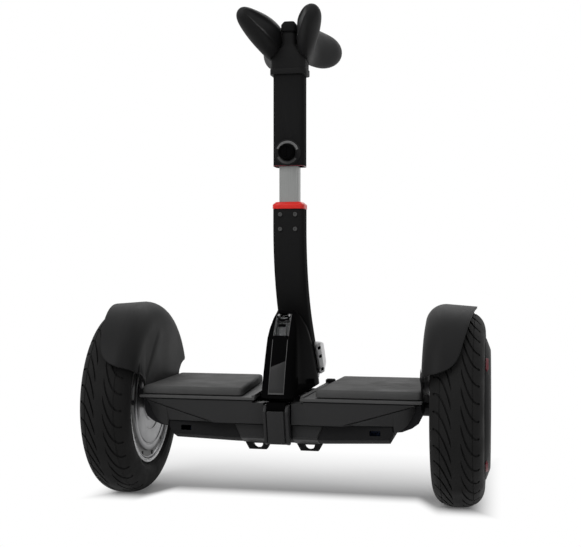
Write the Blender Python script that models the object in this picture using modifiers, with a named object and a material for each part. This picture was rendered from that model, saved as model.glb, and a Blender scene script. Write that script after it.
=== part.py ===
"""Self-balancing scooter with a knee bar.

Metres, +Z up. The floor under the middle of the axle is the origin. The headlight faces -Y and +X is the
right-hand side for someone who looks at the headlight.
"""

from math import atan2, cos, pi, radians, sin

import bmesh
import bpy
from mathutils import Vector

# Driving dimensions
WHEEL_RADIUS = 0.131
WHEEL_X = 0.2322
TYRE_HALF_WIDTH = 0.0342
TYRE_SECTION = 0.031
OVERALL_HALF_WIDTH = 0.273
DECK_TOP = 0.1495
DECK_HALF_LENGTH = 0.1882
DECK_HALF_DEPTH = 0.092
LOWER_FACE = 0.0866
STEERING_AXIS_Z = 0.125
BAR_Y = -0.0058
BAR_WIDTH = 0.0432
BAR_DEPTH = 0.0319
BAR_CORNER = 0.0070
TUBE_WIDTH = 0.0270
TUBE_DEPTH = 0.0220
TUBE_CORNER = 0.0040
BAR_TOP = 0.4000
UPPER_TUBE_LOW = 0.4586
UPPER_TUBE_HIGH = 0.5838
KNOB_Z = 0.4770
BEND_TOP = 0.3765
BEND_RADIUS = 0.2318
FOOT_LEAN = radians(39.5)
GAP = 0.0003

AXLE_RADIUS = 0.008
WHEEL_STEPS = 32
SMALL_STEPS = 16
SIDES = (("left", -1), ("right", 1))


# Scene, collections and materials

for leftover in list(bpy.data.objects):
    bpy.data.objects.remove(leftover, do_unlink=True)


def new_collection(name):
    made = bpy.data.collections.new(name)
    bpy.context.scene.collection.children.link(made)
    return made


PARTS = new_collection("self_balancing_scooter")
CUTTERS = new_collection("cutters")


def new_material(name, colour, roughness, metallic=0.0):
    made = bpy.data.materials.new(name)
    made.use_nodes = True
    shader = made.node_tree.nodes["Principled BSDF"]
    shader.inputs["Base Color"].default_value = (*colour, 1.0)
    shader.inputs["Roughness"].default_value = roughness
    shader.inputs["Metallic"].default_value = metallic
    made.diffuse_color = (*colour, 1.0)
    return made


FINISHES = {
    "black_paint": ((0.012, 0.012, 0.013), 0.42, 0.0),
    "matte_black": ((0.018, 0.018, 0.019), 0.60, 0.0),
    "gloss_black": ((0.006, 0.006, 0.007), 0.12, 0.0),
    "mat_rubber": ((0.045, 0.045, 0.046), 0.80, 0.0),
    "tyre_rubber": ((0.016, 0.016, 0.017), 0.75, 0.0),
    "pad_rubber": ((0.014, 0.014, 0.015), 0.65, 0.0),
    "bare_aluminium": ((0.62, 0.63, 0.65), 0.35, 1.0),
    "steel": ((0.45, 0.46, 0.48), 0.30, 1.0),
    "red_plastic": ((0.62, 0.02, 0.015), 0.35, 0.0),
    "clear_lens": ((0.70, 0.72, 0.75), 0.05, 0.0),
    "red_lens": ((0.35, 0.01, 0.01), 0.15, 0.0),
    "cast_alloy": ((0.16, 0.16, 0.17), 0.50, 0.9),
    "board_green": ((0.02, 0.12, 0.05), 0.50, 0.0),
    "copper": ((0.55, 0.25, 0.12), 0.35, 1.0),
    "grey_print": ((0.16, 0.16, 0.16), 0.45, 0.0),
    "blue_wrap": ((0.02, 0.06, 0.20), 0.45, 0.0),
}


# Shape helpers

def add_part(name, mesh, finish, where=PARTS):
    """Link a mesh as a named part with a material of its own."""
    made = bpy.data.objects.new(name, mesh)
    where.objects.link(made)
    if finish:
        mesh.materials.append(new_material(name + "_finish", *FINISHES[finish]))
    return made


def hide_as_cutter(made):
    for owner in list(made.users_collection):
        owner.objects.unlink(made)
    CUTTERS.objects.link(made)
    made.hide_render = True
    made.display_type = "WIRE"


def mesh_from(bm, name):
    mesh = bpy.data.meshes.new(name)
    bm.to_mesh(mesh)
    bm.free()
    return mesh


def smooth(mesh, angle=35.0):
    mesh.shade_smooth()
    mesh.set_sharp_from_angle(angle=radians(angle))


def add_bevel(made, width, segments=1):
    bevel = made.modifiers.new("edges", "BEVEL")
    bevel.width = width
    bevel.segments = segments
    bevel.limit_method = "ANGLE"
    bevel.angle_limit = radians(40.0)


def block(name, low, high, finish=None, bevel=0.0, segments=1, turn_x=0.0, about=None):
    """A box between two corners, which can be leaned about X round a point."""
    low = Vector(low)
    high = Vector(high)
    bm = bmesh.new()
    bmesh.ops.create_cube(bm, size=1.0)
    bmesh.ops.scale(bm, vec=high - low, verts=bm.verts)
    middle = (low + high) / 2
    offset = middle - Vector(about) if about is not None else Vector()
    bmesh.ops.translate(bm, vec=offset, verts=bm.verts)
    made = add_part(name, mesh_from(bm, name), finish)
    made.location = about if about is not None else middle
    made.rotation_euler = (turn_x, 0.0, 0.0)
    if bevel:
        add_bevel(made, bevel, segments)
    return made


def rod(name, start, end, radius, finish=None, steps=SMALL_STEPS):
    """A closed cylinder from start to end."""
    start = Vector(start)
    end = Vector(end)
    bm = bmesh.new()
    bmesh.ops.create_cone(bm, cap_ends=True, segments=steps, radius1=radius, radius2=radius,
                          depth=(end - start).length)
    mesh = mesh_from(bm, name)
    smooth(mesh)
    made = add_part(name, mesh, finish)
    made.location = (start + end) / 2
    made.rotation_euler = (end - start).to_track_quat("Z", "Y").to_euler()
    return made


def turned(name, profile, finish, place, turn, steps=WHEEL_STEPS, closed=True):
    """A lathe-turned piece: the profile holds (radius, height) points, outer side first, running down."""
    bm = bmesh.new()
    points = [bm.verts.new((radius, 0.0, height)) for radius, height in profile]
    for first, second in zip(points, points[1:]):
        bm.edges.new((first, second))
    if closed:
        bm.edges.new((points[-1], points[0]))
    made = add_part(name, mesh_from(bm, name), finish)
    made.location = place
    made.rotation_euler = turn
    screw = made.modifiers.new("lathe", "SCREW")
    screw.steps = steps
    screw.render_steps = steps
    screw.use_merge_vertices = True
    screw.merge_threshold = 0.00001
    return made


def wheel_piece(name, side, profile, finish, steps=WHEEL_STEPS, closed=True):
    """Turned about the axle; heights run outwards from the wheel's middle plane."""
    place = (side * WHEEL_X, 0.0, WHEEL_RADIUS)
    return turned(name, profile, finish, place, (0.0, side * pi / 2, 0.0), steps, closed)


def loft(name, rings, finish, split=True):
    """A closed body through rings of equally many points; split makes its sides triangles for clean cuts."""
    bm = bmesh.new()
    rows = [[bm.verts.new(point) for point in ring] for ring in rings]
    count = len(rows[0])
    for lower, upper in zip(rows, rows[1:]):
        for i in range(count):
            j = (i + 1) % count
            bm.faces.new((lower[i], lower[j], upper[j], upper[i]))
    sides = list(bm.faces)
    bm.faces.new(list(reversed(rows[0])))
    bm.faces.new(rows[-1])
    if split:
        bmesh.ops.triangulate(bm, faces=sides)
    bmesh.ops.recalc_face_normals(bm, faces=bm.faces)
    mesh = mesh_from(bm, name)
    smooth(mesh)
    return add_part(name, mesh, finish)


def sheet(name, rows, thickness, finish, outward):
    """An open surface through rows of points, thickened away from the outward direction."""
    bm = bmesh.new()
    grid = [[bm.verts.new(point) for point in row] for row in rows]
    for first, second in zip(grid, grid[1:]):
        for i in range(len(first) - 1):
            bm.faces.new((first[i], first[i + 1], second[i + 1], second[i]))
    bm.normal_update()
    middle = list(bm.faces)[len(bm.faces) // 2]
    if middle.normal.dot(Vector(outward)) < 0:
        bmesh.ops.reverse_faces(bm, faces=bm.faces)
    bmesh.ops.triangulate(bm, faces=bm.faces)
    mesh = mesh_from(bm, name)
    smooth(mesh)
    made = add_part(name, mesh, finish)
    wall = made.modifiers.new("wall", "SOLIDIFY")
    wall.thickness = thickness
    wall.offset = -1.0
    wall.use_even_offset = True
    return made


def outline_plate(name, outline, half_thickness, finish, turn, place):
    """A flat outline filled as a 2D curve and extruded both ways, made a mesh so that it can be cut."""
    curve = bpy.data.curves.new(name + "_outline", "CURVE")
    curve.dimensions = "2D"
    curve.fill_mode = "BOTH"
    curve.extrude = half_thickness
    spline = curve.splines.new("POLY")
    spline.points.add(len(outline) - 1)
    for point, (across, along) in zip(spline.points, outline):
        point.co = (across, along, 0.0, 1.0)
    spline.use_cyclic_u = True
    drawn = bpy.data.objects.new(name + "_curve", curve)
    PARTS.objects.link(drawn)
    drawn.location = place
    drawn.rotation_euler = turn
    bpy.context.view_layer.update()
    mesh = bpy.data.meshes.new_from_object(drawn.evaluated_get(bpy.context.evaluated_depsgraph_get()))
    mesh.name = name
    bm = bmesh.new()
    bm.from_mesh(mesh)
    bmesh.ops.remove_doubles(bm, verts=bm.verts, dist=0.00001)
    bmesh.ops.recalc_face_normals(bm, faces=bm.faces)
    bm.to_mesh(mesh)
    bm.free()
    mesh.materials.clear()
    made = add_part(name, mesh, finish)
    made.matrix_world = drawn.matrix_world
    bpy.data.objects.remove(drawn, do_unlink=True)
    bpy.data.curves.remove(curve)
    return made


ALONG_X = (pi / 2, 0.0, pi / 2)
FLAT = (0.0, 0.0, 0.0)


def side_plate(name, outline, half_width, finish, x=0.0):
    """An outline of (y, z) points, extruded along X."""
    return outline_plate(name, outline, half_width, finish, ALONG_X, (x, 0.0, 0.0))


def combine(target, operation, others):
    for other in others:
        hide_as_cutter(other)
        boolean = target.modifiers.new(operation.lower(), "BOOLEAN")
        boolean.operation = operation
        boolean.solver = "EXACT"
        boolean.object = other


def cut(target, *others):
    combine(target, "DIFFERENCE", others)


def unite(target, *others):
    combine(target, "UNION", others)


def rounded_ring(width, depth, corner, z, centre_y=0.0, arc_steps=2, lean=0.0):
    """Points round a rounded rectangle, leaned about X through its own middle."""
    ring = []
    for quarter in range(4):
        for step in range(arc_steps + 1):
            angle = (quarter + step / arc_steps) * pi / 2
            sign_x = 1 if quarter in (0, 3) else -1
            sign_y = 1 if quarter in (0, 1) else -1
            across = sign_x * (width / 2 - corner) + corner * cos(angle)
            along = sign_y * (depth / 2 - corner) + corner * sin(angle)
            ring.append(Vector((across, centre_y + along * cos(lean), z + along * sin(lean))))
    return ring


def rounded_post(name, width, depth, corner, low, high, finish=None, centre_y=BAR_Y):
    return loft(name, [rounded_ring(width, depth, corner, z, centre_y) for z in (low, high)], finish)


def pivot(name, place):
    """An empty on a joint's axis, which carries what moves with that joint."""
    made = bpy.data.objects.new(name, None)
    made.empty_display_size = 0.02
    made.location = place
    PARTS.objects.link(made)
    return made


def carry(parent, *pieces):
    """Hang pieces on a pivot without moving them."""
    for piece in pieces:
        piece.parent = parent
        piece.location = piece.location - parent.location


# Wheels: tyre, rim, motor cover, magnets, hub cap, accent ring and bearings

def tyre_arc(radius, section, half_width, low_angle, high_angle, steps):
    """Points over the crown of a tyre section, from the outboard side to the inboard side."""
    power = 0.83
    points = []
    for step in range(steps + 1):
        angle = radians(high_angle + (low_angle - high_angle) * step / steps)
        rise = section * max(cos(angle), 0.0) ** power
        lean = abs(sin(angle)) ** power * (1 if angle >= 0 else -1)
        points.append((radius - section + rise, half_width * lean))
    return points


RIM_LIP = 0.0882
BEAD_SEAT = 0.0850
BEAD_FACE = 0.0262
TYRE_BEAD = [(BEAD_SEAT + GAP, BEAD_FACE), (0.0900, BEAD_FACE), (0.0945, 0.0318)]
BEAD_TOE = [(0.0905, 0.0200), (BEAD_SEAT + GAP, 0.0200)]
BEARING_OUTER = 0.0140
BEARING_BORE = AXLE_RADIUS + GAP
BEARING_SEAT = BEARING_OUTER + GAP


def both_flanks(points):
    """The inboard flank of a profile that is symmetric about the wheel's middle plane."""
    return [(radius, -offset) for radius, offset in reversed(points)]


def build_tyre(name, side):
    crown = tyre_arc(WHEEL_RADIUS, TYRE_SECTION, TYRE_HALF_WIDTH, -90, 90, 6)
    cavity = tyre_arc(WHEEL_RADIUS - 0.0075, 0.0250, TYRE_HALF_WIDTH - 0.0055, 72, -72, 3)
    profile = TYRE_BEAD + crown + both_flanks(TYRE_BEAD) + both_flanks(BEAD_TOE) + cavity + BEAD_TOE
    return wheel_piece(name, side, profile, "tyre_rubber")


def build_rim(name, side):
    lip_out = 0.0290
    lip_in = BEAD_FACE + GAP
    profile = [
        (RIM_LIP, lip_out), (RIM_LIP, lip_in), (BEAD_SEAT, lip_in), (0.0832, 0.0), (BEAD_SEAT, -lip_in),
        (RIM_LIP, -lip_in), (RIM_LIP, -lip_out),
        (0.0838, -lip_out), (0.0838, -0.0250), (0.0803, -0.0250), (0.0803, 0.0170), (BEARING_SEAT, 0.0170),
        (BEARING_SEAT, 0.0262), (0.0200, 0.0262), (0.0200, 0.0215), (0.0790, 0.0215), (0.0835, lip_out),
    ]
    return wheel_piece(name, side, profile, "bare_aluminium")


def build_motor_cover(name, side):
    profile = [
        (0.0797, -0.0215), (0.0797, -0.0253), (0.0835, -0.0253), (0.0835, -0.0270), (0.0735, -0.0270),
        (0.0700, -0.0290), (BEARING_SEAT, -0.0290), (BEARING_SEAT, -0.0205), (0.0200, -0.0205),
        (0.0200, -0.0245), (0.0765, -0.0245), (0.0765, -0.0215),
    ]
    return wheel_piece(name, side, profile, "bare_aluminium")


def build_magnet_ring(name, side):
    profile = [(0.0800, 0.0135), (0.0800, -0.0135), (0.0775, -0.0135), (0.0775, 0.0135)]
    return wheel_piece(name, side, profile, "steel")


def build_bearing(name, side, low, high):
    profile = [(BEARING_OUTER, high), (BEARING_OUTER, low), (BEARING_BORE, low), (BEARING_BORE, high)]
    return wheel_piece(name, side, profile, "steel", SMALL_STEPS)


CAP_FACE = OVERALL_HALF_WIDTH - WHEEL_X
CAP_FLAT = 0.0795
CAP_EDGE = 0.0940
CAP_EDGE_FACE = CAP_FACE - 0.0058
ACCENT_ANGLES = [radians(45 + 90 * turn) for turn in range(4)]


def build_hub_cap(name, side):
    wall = 0.0021
    profile = [
        (0.0, CAP_FACE), (CAP_FLAT, CAP_FACE), (CAP_EDGE, CAP_EDGE_FACE), (CAP_EDGE, CAP_EDGE_FACE - 0.0019),
        (0.0868, 0.0358), (0.0868, 0.0293), (0.0848, 0.0293), (0.0848, 0.0366),
        (CAP_FLAT - 0.0005, CAP_FACE - wall), (0.0, CAP_FACE - wall),
    ]
    cap = wheel_piece(name, side, profile, "matte_black", closed=False)
    for number, angle in enumerate(ACCENT_ANGLES):
        reach = 0.0900
        middle = Vector((side * (WHEEL_X + 0.0360), reach * cos(angle), WHEEL_RADIUS + reach * sin(angle)))
        window = block(f"{name}_window_{number}", (-0.0060, -0.0095, -0.0028), (0.0060, 0.0095, 0.0028))
        window.location = middle
        window.rotation_euler = (angle + pi / 2, 0.0, 0.0)
        cut(cap, window)
    return cap


def build_accent_ring(name, side):
    inner = 0.0871
    outer = 0.0925
    slope = 0.0058 / (CAP_EDGE - CAP_FLAT)
    under = CAP_FACE - 0.0024
    profile = [
        (outer, under - slope * (outer - CAP_FLAT)), (outer, under - slope * (outer - CAP_FLAT) - 0.0010),
        (inner, under - slope * (inner - CAP_FLAT) - 0.0010), (inner, under - slope * (inner - CAP_FLAT)),
    ]
    return wheel_piece(name, side, profile, "red_plastic")


def build_axle(name, side):
    shoulder = 0.0125
    inner_end = -(WHEEL_X - 0.1532)
    profile = [
        (0.0, 0.0290), (AXLE_RADIUS, 0.0290), (AXLE_RADIUS, -0.0335), (shoulder, -0.0335),
        (shoulder, -0.0516), (AXLE_RADIUS, -0.0516), (AXLE_RADIUS, inner_end), (0.0, inner_end),
    ]
    return wheel_piece(name, side, profile, "steel", SMALL_STEPS, closed=False)


def build_stator(name, side):
    core = 0.0125
    coil = 0.0155
    hub = 0.0040
    profile = [
        (0.0768, core), (0.0768, -core), (0.0740, -coil), (0.0540, -coil), (0.0540, -hub),
        (BEARING_BORE, -hub), (BEARING_BORE, hub), (0.0540, hub), (0.0540, coil), (0.0740, coil),
    ]
    return wheel_piece(name, side, profile, "copper", SMALL_STEPS + 4)


def build_wheels():
    for word, side in SIDES:
        hub = pivot(f"wheel_pivot_{word}", (side * WHEEL_X, 0.0, WHEEL_RADIUS))
        carry(
            hub,
            build_tyre(f"tyre_{word}", side),
            build_rim(f"rim_{word}", side),
            build_motor_cover(f"motor_cover_{word}", side),
            build_magnet_ring(f"magnet_ring_{word}", side),
            build_hub_cap(f"hub_cap_{word}", side),
            build_accent_ring(f"accent_ring_{word}", side),
            build_bearing(f"bearing_inner_{word}", side, -0.0287, -0.0208),
            build_bearing(f"bearing_outer_{word}", side, 0.0173, 0.0252),
        )
        build_axle(f"axle_{word}", side)
        build_stator(f"stator_{word}", side)


# Fenders: a flat wall beside the deck and a crown that follows the tyre

FENDER_WALL_X = 0.1885
FENDER_RADIUS = 0.1372
FENDER_FILLET = 0.0255
FENDER_REACH = 0.0665
FENDER_DROOP = 0.0036
FENDER_ARC = radians(66.0)
FENDER_THICKNESS = 0.0025
FENDER_FOOT_Y = 0.0735
FENDER_STATIONS = [
    (0.0, 0.0, 0.1465), (0.10, 0.0130, 0.1465), (0.20, 0.0260, 0.1465), (0.30, 0.0390, 0.1465),
    (0.40, 0.0520, 0.1465), (0.48, 0.0635, 0.1465),
    (0.55, FENDER_FOOT_Y, 0.1465), (0.65, FENDER_FOOT_Y, 0.1560),
    (0.76, 0.0768, 0.1655), (0.87, 0.0865, 0.1740), (0.94, 0.0940, 0.1770), (0.985, 0.0985, 0.1780),
]


def fender_row(share, foot_y, foot_z, side):
    """Points from the foot of the flat wall, over the fillet and across the crown to its outer edge."""
    angle = FENDER_ARC * share
    size = abs(share)
    reach = FENDER_REACH * (1.0 - 0.36 * size ** 1.3) * (1.0 - size ** 16) ** 0.55
    flat_radius = FENDER_RADIUS - FENDER_FILLET
    row = [(side * FENDER_WALL_X, foot_y, foot_z)]
    for part in (0.0, 0.045, 0.15, 0.38, 0.68, 1.0):
        across = reach * part
        short = max(FENDER_FILLET - across, 0.0)
        beyond = max(across - FENDER_FILLET, 0.0) / FENDER_REACH
        radius = flat_radius + (FENDER_FILLET ** 2 - short ** 2) ** 0.5 - FENDER_DROOP * beyond / 0.7
        row.append((side * (FENDER_WALL_X + across), radius * sin(angle), WHEEL_RADIUS + radius * cos(angle)))
    return row


def build_fenders():
    for word, side in SIDES:
        front = [fender_row(-share, -y, z, side) for share, y, z in reversed(FENDER_STATIONS[1:])]
        rear = [fender_row(share, y, z, side) for share, y, z in FENDER_STATIONS]
        fender = sheet(f"fender_{word}", front + rear, FENDER_THICKNESS, "matte_black", (-side, 0.0, 0.4))
        for number, y in enumerate((-FENDER_FOOT_Y + 0.0004, FENDER_FOOT_Y - 0.0029)):
            edges = sorted((side * (FENDER_WALL_X + 0.0005), side * (FENDER_WALL_X + 0.0080)))
            flange = block(f"fender_flange_{word}_{number}", (edges[0], y, 0.1470),
                           (edges[1], y + 0.0025, 0.1560))
            unite(fender, flange)


# Base: chassis, deck, covers, electronics and foot mats

CHASSIS_FLOOR = 0.1150
CHASSIS_TOP = 0.1457
CHASSIS_HALF_LENGTH = 0.1500
CHASSIS_HALF_DEPTH = 0.0790
BOSS_END = 0.1800
SHAFT_RADIUS = 0.0090
NOTCH_HALF_WIDTH = 0.0440
NOTCH_Z = 0.1415


def build_chassis():
    wall = 0.0040
    chassis = block("chassis_frame", (-CHASSIS_HALF_LENGTH, -CHASSIS_HALF_DEPTH, CHASSIS_FLOOR),
                    (CHASSIS_HALF_LENGTH, CHASSIS_HALF_DEPTH, CHASSIS_TOP), "cast_alloy")
    inner_length = CHASSIS_HALF_LENGTH - wall
    inner_depth = CHASSIS_HALF_DEPTH - wall
    tray = block("chassis_tray", (-inner_length, -inner_depth, CHASSIS_FLOOR + 0.0030),
                 (inner_length, inner_depth, CHASSIS_TOP + 0.0100))
    cut(chassis, tray)
    shoulder_rooms = []
    for word, side in SIDES:
        low, high = sorted((side * (CHASSIS_HALF_LENGTH - 0.0130), side * BOSS_END))
        boss = block(f"chassis_boss_{word}", (low, -0.0200, CHASSIS_FLOOR + 0.0010), (high, 0.0200, 0.1430))
        add_bevel(boss, 0.0040)
        unite(chassis, boss)
        wing_outline = [(0.1440, 0.1165), (0.1508, 0.1165), (0.1512, 0.1065), (0.1620, 0.1078),
                        (0.1745, 0.1128), (0.1832, 0.1192), (0.1862, 0.1260), (0.1862, 0.1425),
                        (0.1440, 0.1425)]
        wing_outline = [(side * x, z) for x, z in wing_outline]
        unite(chassis, outline_plate(f"chassis_wing_{word}", wing_outline, 0.0755, None, (pi / 2, 0.0, 0.0),
                                     (0.0, 0.0, 0.0)))
        shoulder = sorted((side * (BOSS_END + GAP), side * 0.2000))
        shoulder_rooms.append(rod(f"shoulder_room_{word}", (shoulder[0], 0.0, WHEEL_RADIUS),
                                  (shoulder[1], 0.0, WHEEL_RADIUS), 0.0140))
    for number, (y_low, y_high) in enumerate(((-0.0580, -0.0460), (0.0560, 0.0680))):
        cradle = block(f"shaft_cradle_{number}", (-0.0160, y_low, CHASSIS_FLOOR + 0.0010),
                       (0.0160, y_high, 0.1385))
        unite(chassis, cradle)
    notch = block("chassis_notch", (-NOTCH_HALF_WIDTH, -0.1000, NOTCH_Z), (NOTCH_HALF_WIDTH, 0.1000, 0.1600))
    shaft_bore = rod("chassis_shaft_bore", (0.0, -0.0650, STEERING_AXIS_Z), (0.0, 0.0735, STEERING_AXIS_Z),
                     SHAFT_RADIUS + GAP)
    axle_bore = rod("chassis_axle_bore", (-0.2000, 0.0, WHEEL_RADIUS), (0.2000, 0.0, WHEEL_RADIUS),
                    AXLE_RADIUS + GAP)
    cut(chassis, notch, shaft_bore, axle_bore, *shoulder_rooms)


def build_deck():
    half_front = 0.0300
    half_rear = 0.0385
    reach = DECK_HALF_DEPTH + 0.0100
    plate_low = CHASSIS_TOP + GAP
    deck = block("deck_frame", (-DECK_HALF_LENGTH, -DECK_HALF_DEPTH, plate_low),
                 (DECK_HALF_LENGTH, DECK_HALF_DEPTH, DECK_TOP), "black_paint")
    rail_end = DECK_HALF_DEPTH - 0.0040
    rail_front = half_front + 0.0050
    rail_rear = half_rear + 0.0050
    rail_outline = [(-rail_front, -rail_end), (rail_front, -rail_end), (rail_rear, rail_end),
                    (-rail_rear, rail_end)]
    rail = outline_plate("deck_rail", rail_outline, 0.0025, None, FLAT, (0.0, 0.0, DECK_TOP))
    opening_outline = [(-half_front, -reach), (half_front, -reach), (half_rear, reach), (-half_rear, reach)]
    opening = outline_plate("deck_opening", opening_outline, 0.0200, None, FLAT, (0.0, 0.0, DECK_TOP))
    unite(deck, rail)
    cut(deck, opening)
    crossbar = block("deck_crossbar", (-0.0460, -0.0735, 0.1385), (0.0460, -0.0620, 0.1415))
    unite(deck, crossbar)
    for word, side in SIDES:
        edges = sorted((side * 0.0395, side * 0.0460))
        post = block(f"deck_post_{word}", (edges[0], -0.0735, 0.1390),
                     (edges[1], -0.0620, plate_low + 0.0010))
        unite(deck, post)


def mat_outline(side):
    outline = [(0.0620, -0.0850), (0.1872, -0.0850), (0.1872, 0.0880), (0.0600, 0.0880), (0.0520, -0.0740)]
    return [(side * x, y) for x, y in outline]


def build_mats():
    low = DECK_TOP + 0.0015
    rise = 0.0100
    for word, side in SIDES:
        bm = bmesh.new()
        ring = [bm.verts.new((x, y, low)) for x, y in mat_outline(side)]
        bottom = bm.faces.new(ring)
        raised = bmesh.ops.extrude_face_region(bm, geom=[bottom])
        top_points = [item for item in raised["geom"] if isinstance(item, bmesh.types.BMVert)]
        bmesh.ops.translate(bm, vec=(0.0, 0.0, rise), verts=top_points)
        bmesh.ops.recalc_face_normals(bm, faces=bm.faces)
        top_edges = [edge for edge in bm.edges if all(vert in top_points for vert in edge.verts)]
        bmesh.ops.bevel(bm, geom=top_edges, offset=0.0045, segments=2, profile=0.5, affect="EDGES")
        add_part(f"foot_mat_{word}", mesh_from(bm, f"foot_mat_{word}"), "mat_rubber")
        edges = sorted((side * 0.0680, side * 0.1800))
        block(f"pressure_pad_{word}", (edges[0], -0.0750, DECK_TOP + GAP),
              (edges[1], 0.0780, low - GAP), "matte_black")


FASCIA_TOP = 0.1455
FASCIA_FACE_Y = 0.0905
FASCIA_END = 0.1815
FASCIA_WALL = 0.0022
CENTRE_HALF = 0.0175


def fascia_section(x):
    """Section of the front or rear cover at a distance x: lip, top edge, crease, bottom edge, inner side."""
    crease_start = 0.0850
    low_z = 0.1155
    share = max(0.0, (x - crease_start) / (FASCIA_END - crease_start))
    crease_z = low_z + (FASCIA_TOP - 0.0020 - low_z) * share ** 1.05
    bulge = 0.0010 * min(1.0, (x - CENTRE_HALF) / 0.03)
    crease_y = FASCIA_FACE_Y + bulge - 0.0030 * share
    end_share = max(0.0, (x - 0.1500) / (FASCIA_END - 0.1500))
    drop = 0.0075 * min(1.0, max(0.0, (x - 0.1508) / 0.0012))
    low_edge = low_z - drop + (crease_z - low_z + drop) * end_share ** 2.4
    low_y = crease_y - 0.0045 - 0.0060 * share
    low_edge = min(low_edge, crease_z - 0.0012)
    under_lip = FASCIA_TOP - 0.0034
    inner_z = min(crease_z + 0.0008, under_lip - 0.0009)
    inner_y = crease_y - FASCIA_WALL - 1.6 * (crease_z + 0.0008 - inner_z)
    return [
        (FASCIA_FACE_Y - 0.0110, FASCIA_TOP - 0.0012),
        (FASCIA_FACE_Y - 0.0012, FASCIA_TOP),
        (FASCIA_FACE_Y, FASCIA_TOP - 0.0012),
        (crease_y, crease_z),
        (low_y, low_edge),
        (low_y - 0.0013, low_edge + 0.0018),
        (inner_y, inner_z),
        (min(FASCIA_FACE_Y - FASCIA_WALL, inner_y + 0.0030), under_lip),
        (FASCIA_FACE_Y - 0.0110, under_lip),
    ]


FASCIA_STATIONS = [0.0188, 0.0500, 0.0850, 0.1150, 0.1508, 0.1520, 0.1590, 0.1665, 0.1730, 0.1785]


def build_fascias():
    for word, side in SIDES:
        rings = [[(side * x, -y, z) for y, z in fascia_section(x)] for x in FASCIA_STATIONS]
        fascia = loft(f"front_fascia_{word}", rings, "black_paint")
        notch = block(f"fascia_notch_{word}", (-0.0340, -0.1100, 0.1426), (0.0340, -0.0600, 0.1600))
        cut(fascia, notch)


LIGHT_NEAR = 0.0880
LIGHT_FAR = 0.1420
LIGHT_LOW = 0.1330
LIGHT_HIGH = 0.1400
PORT_X = -0.0400
PORT_RADIUS = 0.0100
BUTTON_X = 0.0400
BUTTON_RADIUS = 0.0080
REAR_PANEL_Z = 0.1285
CAP_HINGE_Z = REAR_PANEL_Z - 0.0118
CAP_HINGE_Y = 0.0936


def build_rear_cover():
    stations = [-x for x in reversed(FASCIA_STATIONS)] + FASCIA_STATIONS
    rings = [[(x, y, z) for y, z in fascia_section(abs(x))] for x in stations]
    cover = loft("rear_cover", rings, "black_paint")
    notch = block("rear_notch", (-NOTCH_HALF_WIDTH, 0.0600, NOTCH_Z), (NOTCH_HALF_WIDTH, 0.1100, 0.1600))
    cut(cover, notch)
    for word, side in SIDES:
        edges = sorted((side * LIGHT_NEAR, side * LIGHT_FAR))
        window = block(f"light_window_{word}", (edges[0], 0.0700, LIGHT_LOW), (edges[1], 0.1100, LIGHT_HIGH))
        cut(cover, window)
    for name, x, radius in (("port_hole", PORT_X, PORT_RADIUS), ("button_hole", BUTTON_X, BUTTON_RADIUS)):
        cut(cover, rod(name, (x, 0.0600, REAR_PANEL_Z), (x, 0.1100, REAR_PANEL_Z), radius + GAP))


def build_rear_fittings():
    for word, side in SIDES:
        edges = sorted((side * (LIGHT_NEAR + GAP), side * (LIGHT_FAR - GAP)))
        block(f"tail_light_{word}", (edges[0], CHASSIS_HALF_DEPTH + GAP, LIGHT_LOW + GAP),
              (edges[1], FASCIA_FACE_Y + 0.0008, LIGHT_HIGH - GAP), "red_lens", 0.0008)
    port = rod("charge_port", (PORT_X, CHASSIS_HALF_DEPTH + GAP, REAR_PANEL_Z),
               (PORT_X, 0.0915, REAR_PANEL_Z), PORT_RADIUS, "matte_black")
    recess = rod("port_recess", (PORT_X, 0.0830, REAR_PANEL_Z), (PORT_X, 0.1000, REAR_PANEL_Z), 0.0075)
    prongs = rod("port_prong", (PORT_X, 0.0820, REAR_PANEL_Z), (PORT_X, 0.0890, REAR_PANEL_Z), 0.0022,
                 None, 12)
    cut(port, recess)
    unite(port, prongs)
    hinge = pivot("charge_cap_pivot", (PORT_X, CAP_HINGE_Y, CAP_HINGE_Z))
    cap = rod("charge_cap", (PORT_X, 0.0919, REAR_PANEL_Z), (PORT_X, 0.0941, REAR_PANEL_Z), 0.0110,
              "matte_black")
    barrel = rod("charge_cap_barrel", (PORT_X - 0.0060, CAP_HINGE_Y, CAP_HINGE_Z),
                 (PORT_X + 0.0060, CAP_HINGE_Y, CAP_HINGE_Z), 0.0015, None, 12)
    unite(cap, barrel)
    carry(hinge, cap)
    rod("power_button", (BUTTON_X, 0.0800 + 0.0015, REAR_PANEL_Z), (BUTTON_X, 0.0925, REAR_PANEL_Z),
        BUTTON_RADIUS, "gloss_black")


COVER_HALF_DEPTH = 0.0800
COVER_TOP = CHASSIS_FLOOR - GAP


def build_centre_panel():
    back = COVER_HALF_DEPTH + 0.0004
    surround_outline = [(-back, LOWER_FACE + 0.0015), (-0.0860, LOWER_FACE + 0.0008), (-0.0925, 0.0905),
                        (-0.1035, 0.1330), (-0.0965, 0.1335), (-0.0960, 0.1415), (-back, 0.1415)]
    panel = side_plate("centre_panel", surround_outline, CENTRE_HALF, "black_paint")
    face_outline = [(-0.0900, 0.0895), (-0.0938, 0.0895), (-0.1052, 0.1335), (-0.1000, 0.1335)]
    face = side_plate("centre_face", face_outline, 0.0106, None)
    unite(panel, face)


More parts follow.
